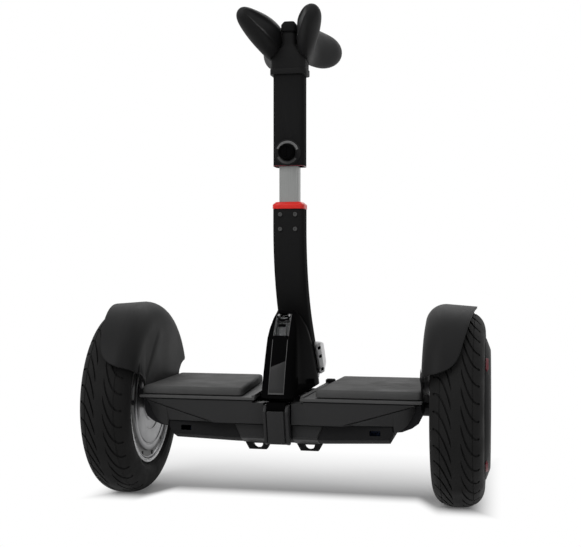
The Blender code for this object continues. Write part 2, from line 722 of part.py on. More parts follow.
def cover_rings(inset, top):
    """Sections (across Y and Z) of the tray along X: bevelled below, rising a little towards both ends."""
    rings = []
    for x, rise, bevel in ((-0.1500, 0.0165, 0.0080), (-0.1455, 0.0030, 0.0200), (-0.0600, 0.0, 0.0200),
                           (0.0600, 0.0, 0.0200), (0.1455, 0.0030, 0.0200), (0.1500, 0.0165, 0.0080)):
        x -= inset if x > 0.1 else 0.0
        x += inset if x < -0.1 else 0.0
        low = LOWER_FACE + rise + inset
        far = COVER_HALF_DEPTH - inset
        near = far - bevel
        shoulder = max(low + 0.0079 * bevel / 0.0200, low)
        rings.append([(x, -far, top), (x, -far, shoulder), (x, -near, low), (x, near, low),
                      (x, far, shoulder), (x, far, top)])
    return rings


def build_lower_cover():
    wall = 0.0024
    cover = loft("lower_cover", cover_rings(0.0, COVER_TOP), "matte_black")
    hollow = loft("cover_hollow", cover_rings(wall, COVER_TOP + 0.0100), None)
    cut(cover, hollow)
    for word, side in SIDES:
        edges = sorted((side * 0.0190, side * 0.0540))
        brow = block(f"cover_brow_{word}", (edges[0], -COVER_HALF_DEPTH - 0.0040, 0.0975),
                     (edges[1], -COVER_HALF_DEPTH + 0.0010, COVER_TOP - 0.0005))
        unite(cover, brow)
        slot_edges = sorted((side * 0.1200, side * 0.1340))
        slot = block(f"cover_slot_{word}", (slot_edges[0], -COVER_HALF_DEPTH - 0.0100, 0.1035),
                     (slot_edges[1], -COVER_HALF_DEPTH + 0.0100, 0.1105))
        cut(cover, slot)


def build_skid_loops():
    low = 0.0742
    for word, side in SIDES:
        x = side * 0.0355
        bow = [(-0.0170, LOWER_FACE - GAP), (-0.0170, 0.0830), (-0.0120, low), (0.0120, low),
               (0.0170, 0.0830), (0.0170, LOWER_FACE - GAP)]
        loop = outline_plate(f"skid_loop_{word}", bow, 0.0045, "matte_black", (pi / 2, 0.0, 0.0),
                             (x, -0.0440, 0.0))
        moon = [(0.0070 * cos(angle), 0.0826 + 0.0070 * sin(angle))
                for angle in [radians(180 + 20 * step) for step in range(10)]]
        hollow = outline_plate(f"skid_moon_{word}", moon, 0.0200, None, (pi / 2, 0.0, 0.0),
                               (x, -0.0440, 0.0))
        cut(loop, hollow)


def build_electronics():
    block("battery_pack", (-0.1330, -0.0500, LOWER_FACE + 0.0056), (0.1330, 0.0500, CHASSIS_FLOOR - 0.0020),
          "blue_wrap", 0.0030)
    floor = CHASSIS_FLOOR + 0.0030 + GAP
    board = block("control_board", (-0.1320, -0.0620, floor), (-0.0280, 0.0620, floor + 0.0016),
                  "board_green")
    fittings = (
        ("heat_sink", (-0.1250, -0.0550), (-0.0950, 0.0200), 0.0120),
        ("capacitor_row", (-0.0850, -0.0550), (-0.0450, -0.0400), 0.0140),
        ("connector_row", (-0.0850, 0.0420), (-0.0400, 0.0540), 0.0090),
        ("processor", (-0.0720, -0.0100), (-0.0560, 0.0060), 0.0030),
    )
    for name, (x_low, y_low), (x_high, y_high), height in fittings:
        unite(board, block(name, (x_low, y_low, floor + 0.0006), (x_high, y_high, floor + 0.0016 + height)))


def build_base():
    build_chassis()
    build_deck()
    build_mats()
    build_fascias()
    build_rear_cover()
    build_rear_fittings()
    build_centre_panel()
    build_lower_cover()
    build_skid_loops()
    build_electronics()
    build_fenders()


# Lower bar: straight at the top, bending rearwards to a leaning foot

BEND_END_Y = BAR_Y + BEND_RADIUS * (1.0 - cos(FOOT_LEAN))
BEND_END_Z = BEND_TOP - BEND_RADIUS * sin(FOOT_LEAN)
FOOT_Z = 0.1720
FOOT_Y = BEND_END_Y + (BEND_END_Z - FOOT_Z) * sin(FOOT_LEAN) / cos(FOOT_LEAN)
FOOT_POINT = Vector((0.0, FOOT_Y, FOOT_Z))
FOOT_END = -0.0122
BORE_LOW = 0.3450
COLLAR_TOP = 0.4098
SCREW_X = 0.0105
SCREW_HEIGHTS = (0.3925, 0.3725)


def on_foot(along, across):
    """A point (y, z) in the foot's leaning frame: along runs up the bar, across runs to the rear."""
    return (FOOT_Y - along * sin(FOOT_LEAN) + across * cos(FOOT_LEAN),
            FOOT_Z + along * cos(FOOT_LEAN) + across * sin(FOOT_LEAN))


def foot_block(name, low, high, finish=None, bevel=0.0):
    """A box given as (x, across, along) in the leaning frame of the bar's foot."""
    shift = Vector((0.0, FOOT_Y, FOOT_Z))
    return block(name, Vector(low) + shift, Vector(high) + shift, finish, bevel, 1, FOOT_LEAN, FOOT_POINT)


def bar_rings(width, depth, corner, top, end):
    rings = [rounded_ring(width, depth, corner, top, BAR_Y)]
    bends = 6
    for step in range(bends + 1):
        lean = FOOT_LEAN * step / bends
        y = BAR_Y + BEND_RADIUS * (1.0 - cos(lean))
        z = BEND_TOP - BEND_RADIUS * sin(lean)
        rings.append(rounded_ring(width, depth, corner, z, y, 2, lean))
    y, z = on_foot(end, 0.0)
    rings.append(rounded_ring(width, depth, corner, z, y, 2, FOOT_LEAN))
    return rings


def build_lower_bar():
    bar = loft("lower_bar", bar_rings(BAR_WIDTH, BAR_DEPTH, BAR_CORNER, BAR_TOP, FOOT_END), "black_paint")
    bore = rounded_post("bar_bore", TUBE_WIDTH + 0.0006, TUBE_DEPTH + 0.0006, TUBE_CORNER, BORE_LOW, 0.4200)
    face_y = BAR_Y - BAR_DEPTH / 2
    plate_y = BAR_Y - TUBE_DEPTH / 2 - 0.0024
    pocket = block("nut_pocket", (-0.0128, plate_y - 0.0003, 0.3655), (0.0128, plate_y + 0.0040, 0.4200))
    cut(bar, bore, pocket)
    for number, z in enumerate(SCREW_HEIGHTS):
        for word, side in SIDES:
            x = side * SCREW_X
            cut(bar, rod(f"screw_hole_{number}_{word}", (x, face_y - 0.0050, z), (x, plate_y + 0.0010, z),
                         0.0018, None, 8))
    screws = block("bar_screws", (-0.0125, plate_y, 0.3660), (0.0125, plate_y + 0.0016, 0.3990), "steel")
    for number, z in enumerate(SCREW_HEIGHTS):
        for word, side in SIDES:
            x = side * SCREW_X
            head_y = face_y - GAP
            unite(screws, rod(f"screw_shank_{number}_{word}", (x, head_y - 0.0005, z),
                              (x, plate_y + 0.0005, z), 0.0015, None, 8))
            head = rod(f"screw_head_{number}_{word}", (x, head_y - 0.0010, z), (x, head_y, z), 0.0030,
                       None, 12)
            socket = rod(f"screw_socket_{number}_{word}", (x, head_y - 0.0030, z), (x, head_y - 0.0005, z),
                         0.0014, None, 6)
            unite(screws, head)
            cut(screws, socket)


def build_collar():
    width = BAR_WIDTH + 0.0014
    depth = BAR_DEPTH + 0.0024
    corner = BAR_CORNER + 0.0007
    collar = loft("collar", [
        rounded_ring(width, depth, corner, BAR_TOP + GAP, BAR_Y),
        rounded_ring(width, depth, corner, COLLAR_TOP - 0.0022, BAR_Y),
        rounded_ring(width - 0.0044, depth - 0.0044, corner - 0.0020, COLLAR_TOP, BAR_Y),
    ], "red_plastic")
    bore = rounded_post("collar_bore", TUBE_WIDTH + 0.0006, TUBE_DEPTH + 0.0006, TUBE_CORNER, 0.3900, 0.4200)
    cut(collar, bore)


def build_inner_tube():
    tube = rounded_post("inner_tube", TUBE_WIDTH, TUBE_DEPTH, TUBE_CORNER, 0.3500, 0.5280, "bare_aluminium")
    bore = rounded_post("inner_tube_bore", TUBE_WIDTH - 0.0040, TUBE_DEPTH - 0.0040, 0.0025, 0.3400, 0.5400)
    cut(tube, bore)


# Steering: shaft, hump, headlight, and the socket that holds the bar

SOCKET_NEAR = 0.0222
SOCKET_FAR = 0.0310
SOCKET_WEB = BAR_DEPTH / 2 + 0.0005
EAR_TOP = 0.0530
EAR_SHOULDER = 0.0300
LEVER_ALONG = -0.0100
LEVER_ACROSS = 0.0232


def build_bar_socket():
    web_back = SOCKET_WEB + 0.0032
    floor_top = FOOT_END - GAP
    floor_low = floor_top - 0.0034
    inner = SOCKET_FAR - 0.0025
    socket = foot_block("bar_socket", (-inner, -0.0052, floor_low), (inner, web_back, floor_top),
                        "bare_aluminium")
    front = foot_block("socket_front", (-0.0212, -0.0165, floor_low), (0.0212, 0.0, floor_top))
    web = foot_block("socket_web", (-inner - 0.0004, SOCKET_WEB, floor_low + 0.0004),
                     (inner + 0.0004, web_back - 0.0003, 0.0300))
    unite(socket, front, web)
    for word, side in SIDES:
        edges = sorted((side * SOCKET_NEAR, side * SOCKET_FAR))
        ear = foot_block(f"socket_ear_{word}", (edges[0], -0.0060, floor_low + 0.0002),
                         (edges[1], web_back + 0.0004, EAR_TOP))
        add_bevel(ear, 0.0018)
        unite(socket, ear)
        for number, along in enumerate((0.0000, 0.0265, 0.0440)):
            start_y, start_z = on_foot(along, -0.0070)
            end_y, end_z = on_foot(along, -0.0040)
            x = side * (SOCKET_NEAR + SOCKET_FAR) / 2
            unite(socket, rod(f"socket_screw_{word}_{number}", (x, start_y, start_z), (x, end_y, end_z),
                              0.0023, None, 12))
        lug_edges = sorted((side * 0.0124, side * 0.0164))
        lug = foot_block(f"socket_lug_{word}", (lug_edges[0], web_back - 0.0010, LEVER_ALONG - 0.0035),
                         (lug_edges[1], LEVER_ACROSS + 0.0032, LEVER_ALONG + 0.0045))
        unite(socket, lug)
    corner = Vector((0.0, *on_foot(EAR_SHOULDER, web_back + 0.0004)))
    slope = atan2(web_back + 0.0009, EAR_TOP - EAR_SHOULDER)
    cut(socket, block("ear_slope", corner + Vector((-0.0500, 0.0, -0.0200)), corner + Vector((0.0500, 0.0300, 0.0600)),
                      None, 0.0, 1, FOOT_LEAN + slope, corner))
    pin_y, pin_z = on_foot(LEVER_ALONG, LEVER_ACROSS)
    cut(socket, rod("lever_pin_hole", (-0.0200, pin_y, pin_z), (0.0200, pin_y, pin_z), 0.0018, None, 12))


def build_lock_lever():
    pin_y, pin_z = on_foot(LEVER_ALONG, LEVER_ACROSS)
    hinge = pivot("lock_lever_pivot", (0.0, pin_y, pin_z))
    lever = rod("lock_lever", (-0.0120, pin_y, pin_z), (0.0120, pin_y, pin_z), 0.0030, "gloss_black", 16)
    pin = rod("lever_pin", (-0.0168, pin_y, pin_z), (0.0168, pin_y, pin_z), 0.0015, None, 12)
    paddle = foot_block("lever_paddle", (-0.0120, LEVER_ACROSS - 0.0014, LEVER_ALONG),
                        (0.0120, LEVER_ACROSS + 0.0014, 0.0200))
    lip = foot_block("lever_lip", (-0.0120, LEVER_ACROSS - 0.0014, 0.0180),
                     (0.0120, LEVER_ACROSS + 0.0044, 0.0215))
    unite(lever, pin, paddle, lip)
    carry(hinge, lever)


HUMP_BOTTOM = 0.1500
HUMP_NOSE = [(-0.1000, 0.1500), (-0.0885, 0.1830), (-0.0700, 0.2260), (-0.0460, 0.2545), (-0.0360, 0.2635)]
HUMP_TAIL = [(0.0980, 0.1500), (0.0900, 0.1650), (0.0760, 0.1820), (0.0600, 0.1990), (0.0450, 0.2130),
             (0.0300, 0.2260), (0.0140, 0.2380), (-0.0080, 0.2515), (-0.0300, 0.2625)]
HUMP_WIDTHS = [(0.1500, 0.0268), (0.1650, 0.0262), (0.1820, 0.0255), (0.1990, 0.0248), (0.2130, 0.0240),
               (0.2260, 0.0230), (0.2380, 0.0215), (0.2515, 0.0175), (0.2610, 0.0125)]
STRIP_HALF = 0.0108


def at_height(line, z):
    """The first value of a line of (value, z) points at a height z."""
    for (low_value, low), (high_value, high) in zip(line, line[1:]):
        if z <= high:
            return low_value + (high_value - low_value) * (z - low) / (high - low)
    return line[-1][0]


def hump_ring(z, width, inset, level):
    nose = at_height(HUMP_NOSE, z) + inset * 1.15
    tail = at_height(HUMP_TAIL, z) - inset
    shoulder = min(0.0215 - 0.03 * (z - HUMP_BOTTOM), 0.80 * width)
    half_widths = ((0.0, min(0.0118, 0.8 * shoulder)), (0.05, shoulder), (0.25, 0.88 * width),
                   (0.60, 0.97 * width), (0.88, width), (1.0, 0.86 * width))
    right = []
    for share, half in half_widths:
        right.append(Vector((half - inset, nose + share * (tail - nose), level)))
    left = [Vector((-point.x, point.y, level)) for point in reversed(right)]
    return right + left


def build_hump():
    wall = 0.0020
    outer = [hump_ring(z, width, 0.0, z) for z, width in HUMP_WIDTHS]
    hump = loft("hump_shell", outer, "gloss_black")
    inner = [hump_ring(HUMP_WIDTHS[0][0], HUMP_WIDTHS[0][1], wall, 0.1400)]
    inner += [hump_ring(z, width, wall, z) for z, width in HUMP_WIDTHS[:-1]]
    last_z, last_width = HUMP_WIDTHS[-1]
    inner.append(hump_ring(last_z - 0.0030, last_width, wall, last_z - 0.0022))
    hollow = loft("hump_hollow", inner, None)
    window = block("hump_window", (-STRIP_HALF, -0.1300, 0.1540), (STRIP_HALF, -0.0250, 0.2580))
    room_rings = bar_rings(BAR_WIDTH + 0.0010, BAR_DEPTH + 0.0012, BAR_CORNER, BAR_TOP, -0.0300)
    bar_room = loft("bar_room", room_rings, None)
    release_rings = []
    for along in (-0.0320, 0.1000):
        y, z = on_foot(along, 0.0)
        release_rings.append(rounded_ring(BAR_WIDTH + 0.0014, BAR_DEPTH + 0.0016, BAR_CORNER, z, y, 2, FOOT_LEAN))
    release_room = loft("release_room", release_rings, None)
    foot_room = block("foot_room", (-0.0224, 0.0850, 0.1400), (0.0224, 0.1200, 0.1750))
    cut(hump, hollow, window, bar_room, release_room, foot_room)


def strip_sheet(name, heights, finish):
    half = STRIP_HALF - GAP
    rows = [[(-half, at_height(HUMP_NOSE, z), z), (half, at_height(HUMP_NOSE, z), z)] for z in heights]
    return sheet(name, rows, 0.0020, finish, (0.0, -1.0, 0.2))


def build_headlight():
    strip_sheet("front_panel", [0.1550, 0.1830, 0.2260, 0.2295], "gloss_black")
    strip_sheet("headlight_lens", [0.2299, 0.2545, 0.2576], "clear_lens")
    face_y, face_z = HUMP_NOSE[2]
    top_y, top_z = HUMP_NOSE[3]
    tall = Vector((0.0, top_y - face_y, top_z - face_z))
    lean = -Vector((0.0, 1.0)).angle(Vector((tall.y, tall.z)))
    origin = Vector((0.0, face_y, face_z))
    width = STRIP_HALF - 0.0006
    housing = block("headlight_housing", (-width, face_y + 0.0024, face_z + 0.0010),
                    (width, face_y + 0.0140, face_z + tall.length - 0.0010), "matte_black", 0.0, 1,
                    lean, origin)
    pocket = block("headlight_pocket", (-width + 0.0016, face_y, face_z + 0.0030),
                   (width - 0.0016, face_y + 0.0115, face_z + tall.length - 0.0030), None, 0.0, 1,
                   lean, origin)
    lamp = block("headlight_lamp", (-0.0045, face_y + 0.0080, face_z + 0.0120),
                 (0.0045, face_y + 0.0125, face_z + 0.0240), None, 0.0, 1, lean, origin)
    cut(housing, pocket)
    unite(housing, lamp)


def build_steering_shaft():
    shaft = rod("steering_shaft", (0.0, -0.0580, STEERING_AXIS_Z), (0.0, 0.0700, STEERING_AXIS_Z),
                SHAFT_RADIUS, "cast_alloy")
    front_low = on_foot(FOOT_END - 0.0040, -0.0165)
    rear_low = on_foot(FOOT_END - 0.0040, 0.0150)
    rest = on_foot(FOOT_END - 0.0040, -0.0175)
    brace_low = on_foot(FOOT_END, -0.0175)
    brace_top = on_foot(0.0300, -0.0175)
    rib_outline = [(-0.0400, 0.1290), (0.0450, 0.1290), (0.0560, 0.1470), (0.0930, 0.1474),
                   (rear_low[0] + 0.0020, 0.1585), rear_low, front_low, rest, brace_low, brace_top,
                   (0.0200, 0.1880), (-0.0300, 0.1700), (-0.0400, 0.1480)]
    rib = side_plate("steering_rib", rib_outline, 0.0110, None)
    unite(shaft, rib)


# Upper tube, height knob, knee bracket, top cap and knee pads

KNOB_RADIUS = 0.0104
KNOB_FACE_Y = -0.0380
PLATE_LOW = UPPER_TUBE_HIGH + GAP
PLATE_HIGH = 0.5920
NECK_TOP = 0.6407
NECK_LOW = 0.6255
CAP_HIGH = 0.6572


def build_upper_tube():
    tube = rounded_post("upper_tube", BAR_WIDTH - 0.0006, BAR_DEPTH, BAR_CORNER, UPPER_TUBE_LOW,
                        UPPER_TUBE_HIGH, "black_paint")
    bore = rounded_post("upper_bore", TUBE_WIDTH + 0.0006, TUBE_DEPTH + 0.0006, TUBE_CORNER, 0.4500, 0.5750)
    knob_hole = rod("knob_hole", (0.0, -0.0400, KNOB_Z), (0.0, -0.0150, KNOB_Z), 0.0043, None, 16)
    cut(tube, bore, knob_hole)


def build_knob():
    face_y = BAR_Y - BAR_DEPTH / 2 - GAP
    ring = rod("knob_ring", (0.0, face_y - 0.0022, KNOB_Z), (0.0, face_y, KNOB_Z), 0.0180, "grey_print", 24)
    hole = rod("knob_ring_hole", (0.0, -0.0500, KNOB_Z), (0.0, 0.0, KNOB_Z), KNOB_RADIUS + 0.0005, None, 24)
    cut(ring, hole)
    turn = pivot("height_knob_pivot", (0.0, KNOB_FACE_Y, KNOB_Z))
    knob = rod("height_knob", (0.0, KNOB_FACE_Y, KNOB_Z), (0.0, face_y - 0.0006, KNOB_Z), KNOB_RADIUS,
               "gloss_black", 24)
    add_bevel(knob, 0.0012)
    dish = rod("knob_dish", (0.0, KNOB_FACE_Y - 0.0050, KNOB_Z), (0.0, KNOB_FACE_Y + 0.0012, KNOB_Z), 0.0078,
               None, 24)
    grip = block("knob_grip", (-0.0010, KNOB_FACE_Y + 0.0002, KNOB_Z - 0.0070),
                 (0.0010, KNOB_FACE_Y + 0.0020, KNOB_Z + 0.0070))
    shank = rod("knob_shank", (0.0, face_y - 0.0030, KNOB_Z), (0.0, -0.0176, KNOB_Z), 0.0040, None, 16)
    cut(knob, dish)
    unite(knob, grip, shank)
    carry(turn, knob)


def grown_rings(sizes, extra):
    """Rings of a post made of (width, depth, height, corner) rows, grown by an extra amount all round."""
    rings = []
    for width, depth, z, corner in sizes:
        rings.append(rounded_ring(width + 2 * extra, depth + 2 * extra, corner + extra, z, BAR_Y))
    return rings


BRACKET_SIZES = [(0.0512, 0.0380, PLATE_LOW, 0.0090), (0.0512, 0.0380, PLATE_HIGH, 0.0090),
                 (0.0490, 0.0350, PLATE_HIGH + 0.0006, 0.0080), (0.0490, 0.0350, 0.6070, 0.0080),
                 (0.0200, 0.0240, NECK_LOW, 0.0055), (0.0200, 0.0240, NECK_TOP, 0.0055)]
CAP_SIZES = [(0.0170, 0.0230, NECK_TOP + GAP, 0.0045), (0.0170, 0.0230, 0.6430, 0.0045),
             (0.0215, 0.0270, 0.6436, 0.0055), (0.0215, 0.0270, CAP_HIGH - 0.0050, 0.0055),
             (0.0143, 0.0206, CAP_HIGH, 0.0035)]


def build_bracket():
    loft("knee_bracket", grown_rings(BRACKET_SIZES, 0.0), "matte_black")
    loft("top_cap", grown_rings(CAP_SIZES, 0.0), "gloss_black")


PAD_LINE = [
    (0.0475, -0.0965, 0.6545, 0.0060, 0.0065), (0.0455, -0.0880, 0.6520, 0.0120, 0.0120),
    (0.0425, -0.0750, 0.6485, 0.0155, 0.0160), (0.0325, -0.0480, 0.6415, 0.0165, 0.0230),
    (0.0235, -0.0200, 0.6330, 0.0130, 0.0280), (0.0213, 0.0080, 0.6300, 0.0115, 0.0290),
    (0.0255, 0.0350, 0.6305, 0.0130, 0.0285), (0.0345, 0.0600, 0.6300, 0.0155, 0.0275),
    (0.0435, 0.0800, 0.6320, 0.0155, 0.0235), (0.0495, 0.0940, 0.6340, 0.0105, 0.0155),
    (0.0510, 0.1000, 0.6350, 0.0050, 0.0080),
]
PAD_GROOVE = [0.0, 0.0020, 0.0040, 0.0036, 0.0010, 0.0, 0.0, 0.0, 0.0, 0.0, 0.0]
PAD_POINTS = 10


def build_knee_pads():
    for word, side in SIDES:
        rings = []
        for number, (x, y, z, half_thick, half_high) in enumerate(PAD_LINE):
            before = PAD_LINE[max(number - 1, 0)]
            after = PAD_LINE[min(number + 1, len(PAD_LINE) - 1)]
            along = Vector((after[0] - before[0], after[1] - before[1], after[2] - before[2])).normalized()
            outwards = Vector((along.y, -along.x, 0.0)).normalized()
            upwards = along.cross(outwards)
            if upwards.z < 0:
                upwards.negate()
            ring = []
            for step in range(PAD_POINTS):
                angle = 2 * pi * step / PAD_POINTS
                across = half_thick * cos(angle)
                if cos(angle) < -0.99:
                    across += PAD_GROOVE[number]
                point = Vector((x, y, z)) + outwards * across + upwards * half_high * sin(angle)
                ring.append((side * point.x, point.y, point.z))
            rings.append(ring)
        pad = loft(f"knee_pad_{word}", rings, "pad_rubber", False)
        rounding = pad.modifiers.new("rounding", "SUBSURF")
        rounding.levels = 1
        rounding.render_levels = 1
        cut(pad, loft(f"bracket_room_{word}", grown_rings(BRACKET_SIZES, GAP + 0.0002), None),
            loft(f"cap_room_{word}", grown_rings(CAP_SIZES, GAP), None))


def build_bar_and_steering():
    build_lower_bar()
    build_collar()
    build_inner_tube()
    build_bar_socket()
    build_lock_lever()
    build_hump()
    build_headlight()
    build_steering_shaft()
    build_upper_tube()
    build_knob()
    build_bracket()
    build_knee_pads()


build_wheels()
build_base()
build_bar_and_steering()
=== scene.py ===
# %% [markdown]
# # A self-balancing scooter with a knee bar
#
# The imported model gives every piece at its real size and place, but its surfaces are coarse flat facets.
# Each cell below takes one piece of the scooter, explains how it is made, and models the surface that
# shows. Lengths are metres, +Z is up, the headlight looks along -Y, and the floor is at zero.

from contextlib import contextmanager
from math import cos, pi, radians, sin, sqrt

import bmesh
import bpy
from mathutils import Matrix, Vector


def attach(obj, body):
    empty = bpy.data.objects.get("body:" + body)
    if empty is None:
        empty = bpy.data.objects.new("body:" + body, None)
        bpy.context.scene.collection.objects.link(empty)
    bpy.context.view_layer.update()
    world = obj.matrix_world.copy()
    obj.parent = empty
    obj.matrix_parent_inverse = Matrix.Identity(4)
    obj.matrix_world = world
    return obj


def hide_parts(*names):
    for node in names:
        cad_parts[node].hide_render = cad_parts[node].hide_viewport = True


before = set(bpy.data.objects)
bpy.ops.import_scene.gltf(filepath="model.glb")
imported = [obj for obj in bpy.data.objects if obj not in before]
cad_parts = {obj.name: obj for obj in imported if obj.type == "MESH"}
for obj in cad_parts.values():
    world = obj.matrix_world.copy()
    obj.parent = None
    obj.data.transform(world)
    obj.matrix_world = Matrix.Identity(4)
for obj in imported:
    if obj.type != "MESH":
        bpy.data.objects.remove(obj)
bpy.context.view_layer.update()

# %% [markdown]
# ## Camera
#
# The photograph was taken from in front and a little to the right, from just under half the scooter's
# height, with the camera level to within a degree. Its place was found by matching the tyres, the deck and
# the post.

# %% Camera
PHOTO_WIDTH = 581
FOCAL_PIXELS = 1039.7
SENSOR_WIDTH = 36.0
CAMERA_PLACE = Vector((0.2875, -1.4155, 0.3282))
CAMERA_AZIMUTH = 0.2007
CAMERA_PITCH = 0.0117

camera_data = bpy.data.cameras.new("photo_camera")
camera_data.sensor_width = SENSOR_WIDTH
camera_data.lens = FOCAL_PIXELS / PHOTO_WIDTH * SENSOR_WIDTH
camera_data.clip_start = 0.02
camera = bpy.data.objects.new("photo_camera", camera_data)
bpy.context.scene.collection.objects.link(camera)
view_direction = Vector((-sin(CAMERA_AZIMUTH), cos(CAMERA_AZIMUTH), -CAMERA_PITCH))
camera.location = CAMERA_PLACE
camera.rotation_euler = view_direction.to_track_quat("-Z", "Y").to_euler()
bpy.context.scene.camera = camera
bpy.context.scene.view_settings.view_transform = "Standard"
print("lens:", round(camera_data.lens, 1), "mm")

# %% [markdown]
# ## Shader nodes
#
# A material is a small network of nodes. `node_maker` gives a short way to write one: it adds a node, sets
# its inputs and links other nodes in. Two more helpers stand for the nodes that come up most in the studio.


# %% Shader nodes
def node_maker(material_or_world):
    """Returns a function that adds a shader node, sets its inputs by name or number, and links nodes in."""
    tree = material_or_world.node_tree

    def add(kind, settings=None, **inputs):
        node = tree.nodes.new(kind)
        for attribute, value in (settings or {}).items():
            setattr(node, attribute, value)
        for name, value in inputs.items():
            key = int(name[1:]) if name[0] == "_" and name[1:].isdigit() else name.replace("_", " ")
            socket = node.inputs[key]
            if isinstance(value, bpy.types.NodeSocket):
                tree.links.new(value, socket)
            else:
                socket.default_value = value
        return node

    return add


def calculate(add, operation, first, second=0.0):
    return add("ShaderNodeMath", {"operation": operation}, _0=first, _1=second).outputs[0]


def soft_step(add, value, start, end, low=0.0, high=1.0):
    """Goes smoothly from low to high while the value goes from start to end."""
    return add("ShaderNodeMapRange", {"interpolation_type": "SMOOTHSTEP"}, Value=value, From_Min=start,
               From_Max=end, To_Min=low, To_Max=high).outputs["Result"]


def seen_directly(add):
    """1 for a ray from the camera, a gloss or a clear piece, and 0 for a ray that carries light."""
    rays = add("ShaderNodeLightPath").outputs
    bounced = calculate(add, "MAXIMUM", rays["Is Glossy Ray"], rays["Is Transmission Ray"])
    return calculate(add, "MAXIMUM", rays["Is Camera Ray"], bounced)


WHITE = (1.0, 1.0, 1.0, 1.0)
print("node helpers ready")

# %% [markdown]
# ## Floor and background
#
# A product photograph has a white ground that shows only the object's shadow. The floor is a pale plane,
# and away from the object it is mixed towards pure white for the camera, so that no horizon shows. The
# shadow stays under the scooter: it fades out towards the rear and stops at the wheels' outer sides and
# just in front of them. The world is a plain pale grey for lighting, and white only for rays that the
# camera, a gloss or a clear lens sends out.

# %% Floor and background
SHADOW_SIDES = (0.235, 0.290)
SHADOW_FRONT = (0.055, -0.015)
SHADOW_REAR = (0.04, 0.36)
TYRE_TRACK = (0.17, 0.21)
TYRE_LEAD = 0.060
REAR_HAZE = 0.08
FLOOR_SIZE = 30.0
FLOOR_GAP = 0.0002


def build_world():
    world = bpy.data.worlds.new("studio")
    bpy.context.scene.world = world
    world.use_nodes = True
    world.node_tree.nodes.clear()
    add = node_maker(world)
    lit = add("ShaderNodeBackground", Color=(0.80, 0.80, 0.81, 1.0), Strength=0.36)
    white = add("ShaderNodeBackground", Color=WHITE, Strength=1.0)
    both = add("ShaderNodeMixShader", _0=seen_directly(add), _1=lit.outputs[0], _2=white.outputs[0])
    add("ShaderNodeOutputWorld", Surface=both.outputs[0])


def build_floor():
    bpy.ops.object.select_all(action="DESELECT")
    bpy.ops.mesh.primitive_plane_add(size=FLOOR_SIZE, location=(0.0, 0.0, -FLOOR_GAP))
    floor = bpy.context.object
    floor.name = "studio_floor"
    material = bpy.data.materials.new("studio_floor")
    material.use_nodes = True
    material.node_tree.nodes.clear()
    add = node_maker(material)
    matte = add("ShaderNodeBsdfDiffuse", Color=(0.90, 0.90, 0.90, 1.0))
    white = add("ShaderNodeEmission", Color=WHITE, Strength=1.0)
    place = add("ShaderNodeSeparateXYZ", Vector=add("ShaderNodeTexCoord").outputs["Object"]).outputs
    across = calculate(add, "ABSOLUTE", place["X"])
    side = soft_step(add, across, *SHADOW_SIDES)
    forward = calculate(add, "ADD", place["Y"], soft_step(add, across, *TYRE_TRACK, 0.0, TYRE_LEAD))
    front = soft_step(add, forward, *SHADOW_FRONT)
    rear = add("ShaderNodeMapRange", Value=place["Y"], From_Min=SHADOW_REAR[0], From_Max=SHADOW_REAR[1],
               To_Min=REAR_HAZE).outputs["Result"]
    fade = calculate(add, "MAXIMUM", side, calculate(add, "MAXIMUM", front, rear))
    seen = calculate(add, "MULTIPLY", seen_directly(add), fade)
    surface = add("ShaderNodeMixShader", _0=seen, _1=matte.outputs[0], _2=white.outputs[0])
    add("ShaderNodeOutputMaterial", Surface=surface.outputs[0])
    floor.data.materials.append(material)


build_world()
build_floor()
print("floor and background ready")

# %% [markdown]
# ## Lights
#
# Black plastic shows its shape through what it reflects. Four large soft lamps stand round the scooter: a
# broad key above and to the left, a fill to the right, a long low strip behind, which draws a thin bright
# edge along the fenders, the mats and the post, and a lamp overhead for the upper faces.


# %% Lights
def softbox(name, place, aim_height, width, height, power):
    """A rectangular area lamp that looks at a point above the floor, between the wheels."""
    data = bpy.data.lights.new(name, "AREA")
    data.shape = "RECTANGLE"
    data.size = width
    data.size_y = height
    data.energy = power
    lamp = bpy.data.objects.new(name, data)
    bpy.context.scene.collection.objects.link(lamp)
    lamp.location = place
    lamp.rotation_euler = (Vector((0.0, 0.0, aim_height)) - Vector(place)).to_track_quat("-Z", "Y").to_euler()


softbox("key", (-1.3, -1.7, 2.3), 0.25, 1.8, 1.4, 35.0)
softbox("fill", (2.1, -1.3, 1.2), 0.25, 1.4, 1.8, 5.0)
softbox("back", (0.1, 2.0, 1.9), 0.20, 2.2, 1.0, 14.0)
softbox("overhead", (0.0, -0.2, 2.6), 0.15, 1.6, 1.6, 9.0)
print("lamps:", len(bpy.data.lights))

# %% [markdown]
# ## Finishes
#
# No moulded or painted surface is one flat colour. Every finish starts from a plain shader and adds what
# the real surface shows: a slightly uneven colour, gloss that varies where hands or air touched it, and a
# fine grain in the bump. All patterns read Object coordinates, so they stay on the piece when it moves. One
# function makes them all, because the finishes differ only in their numbers.


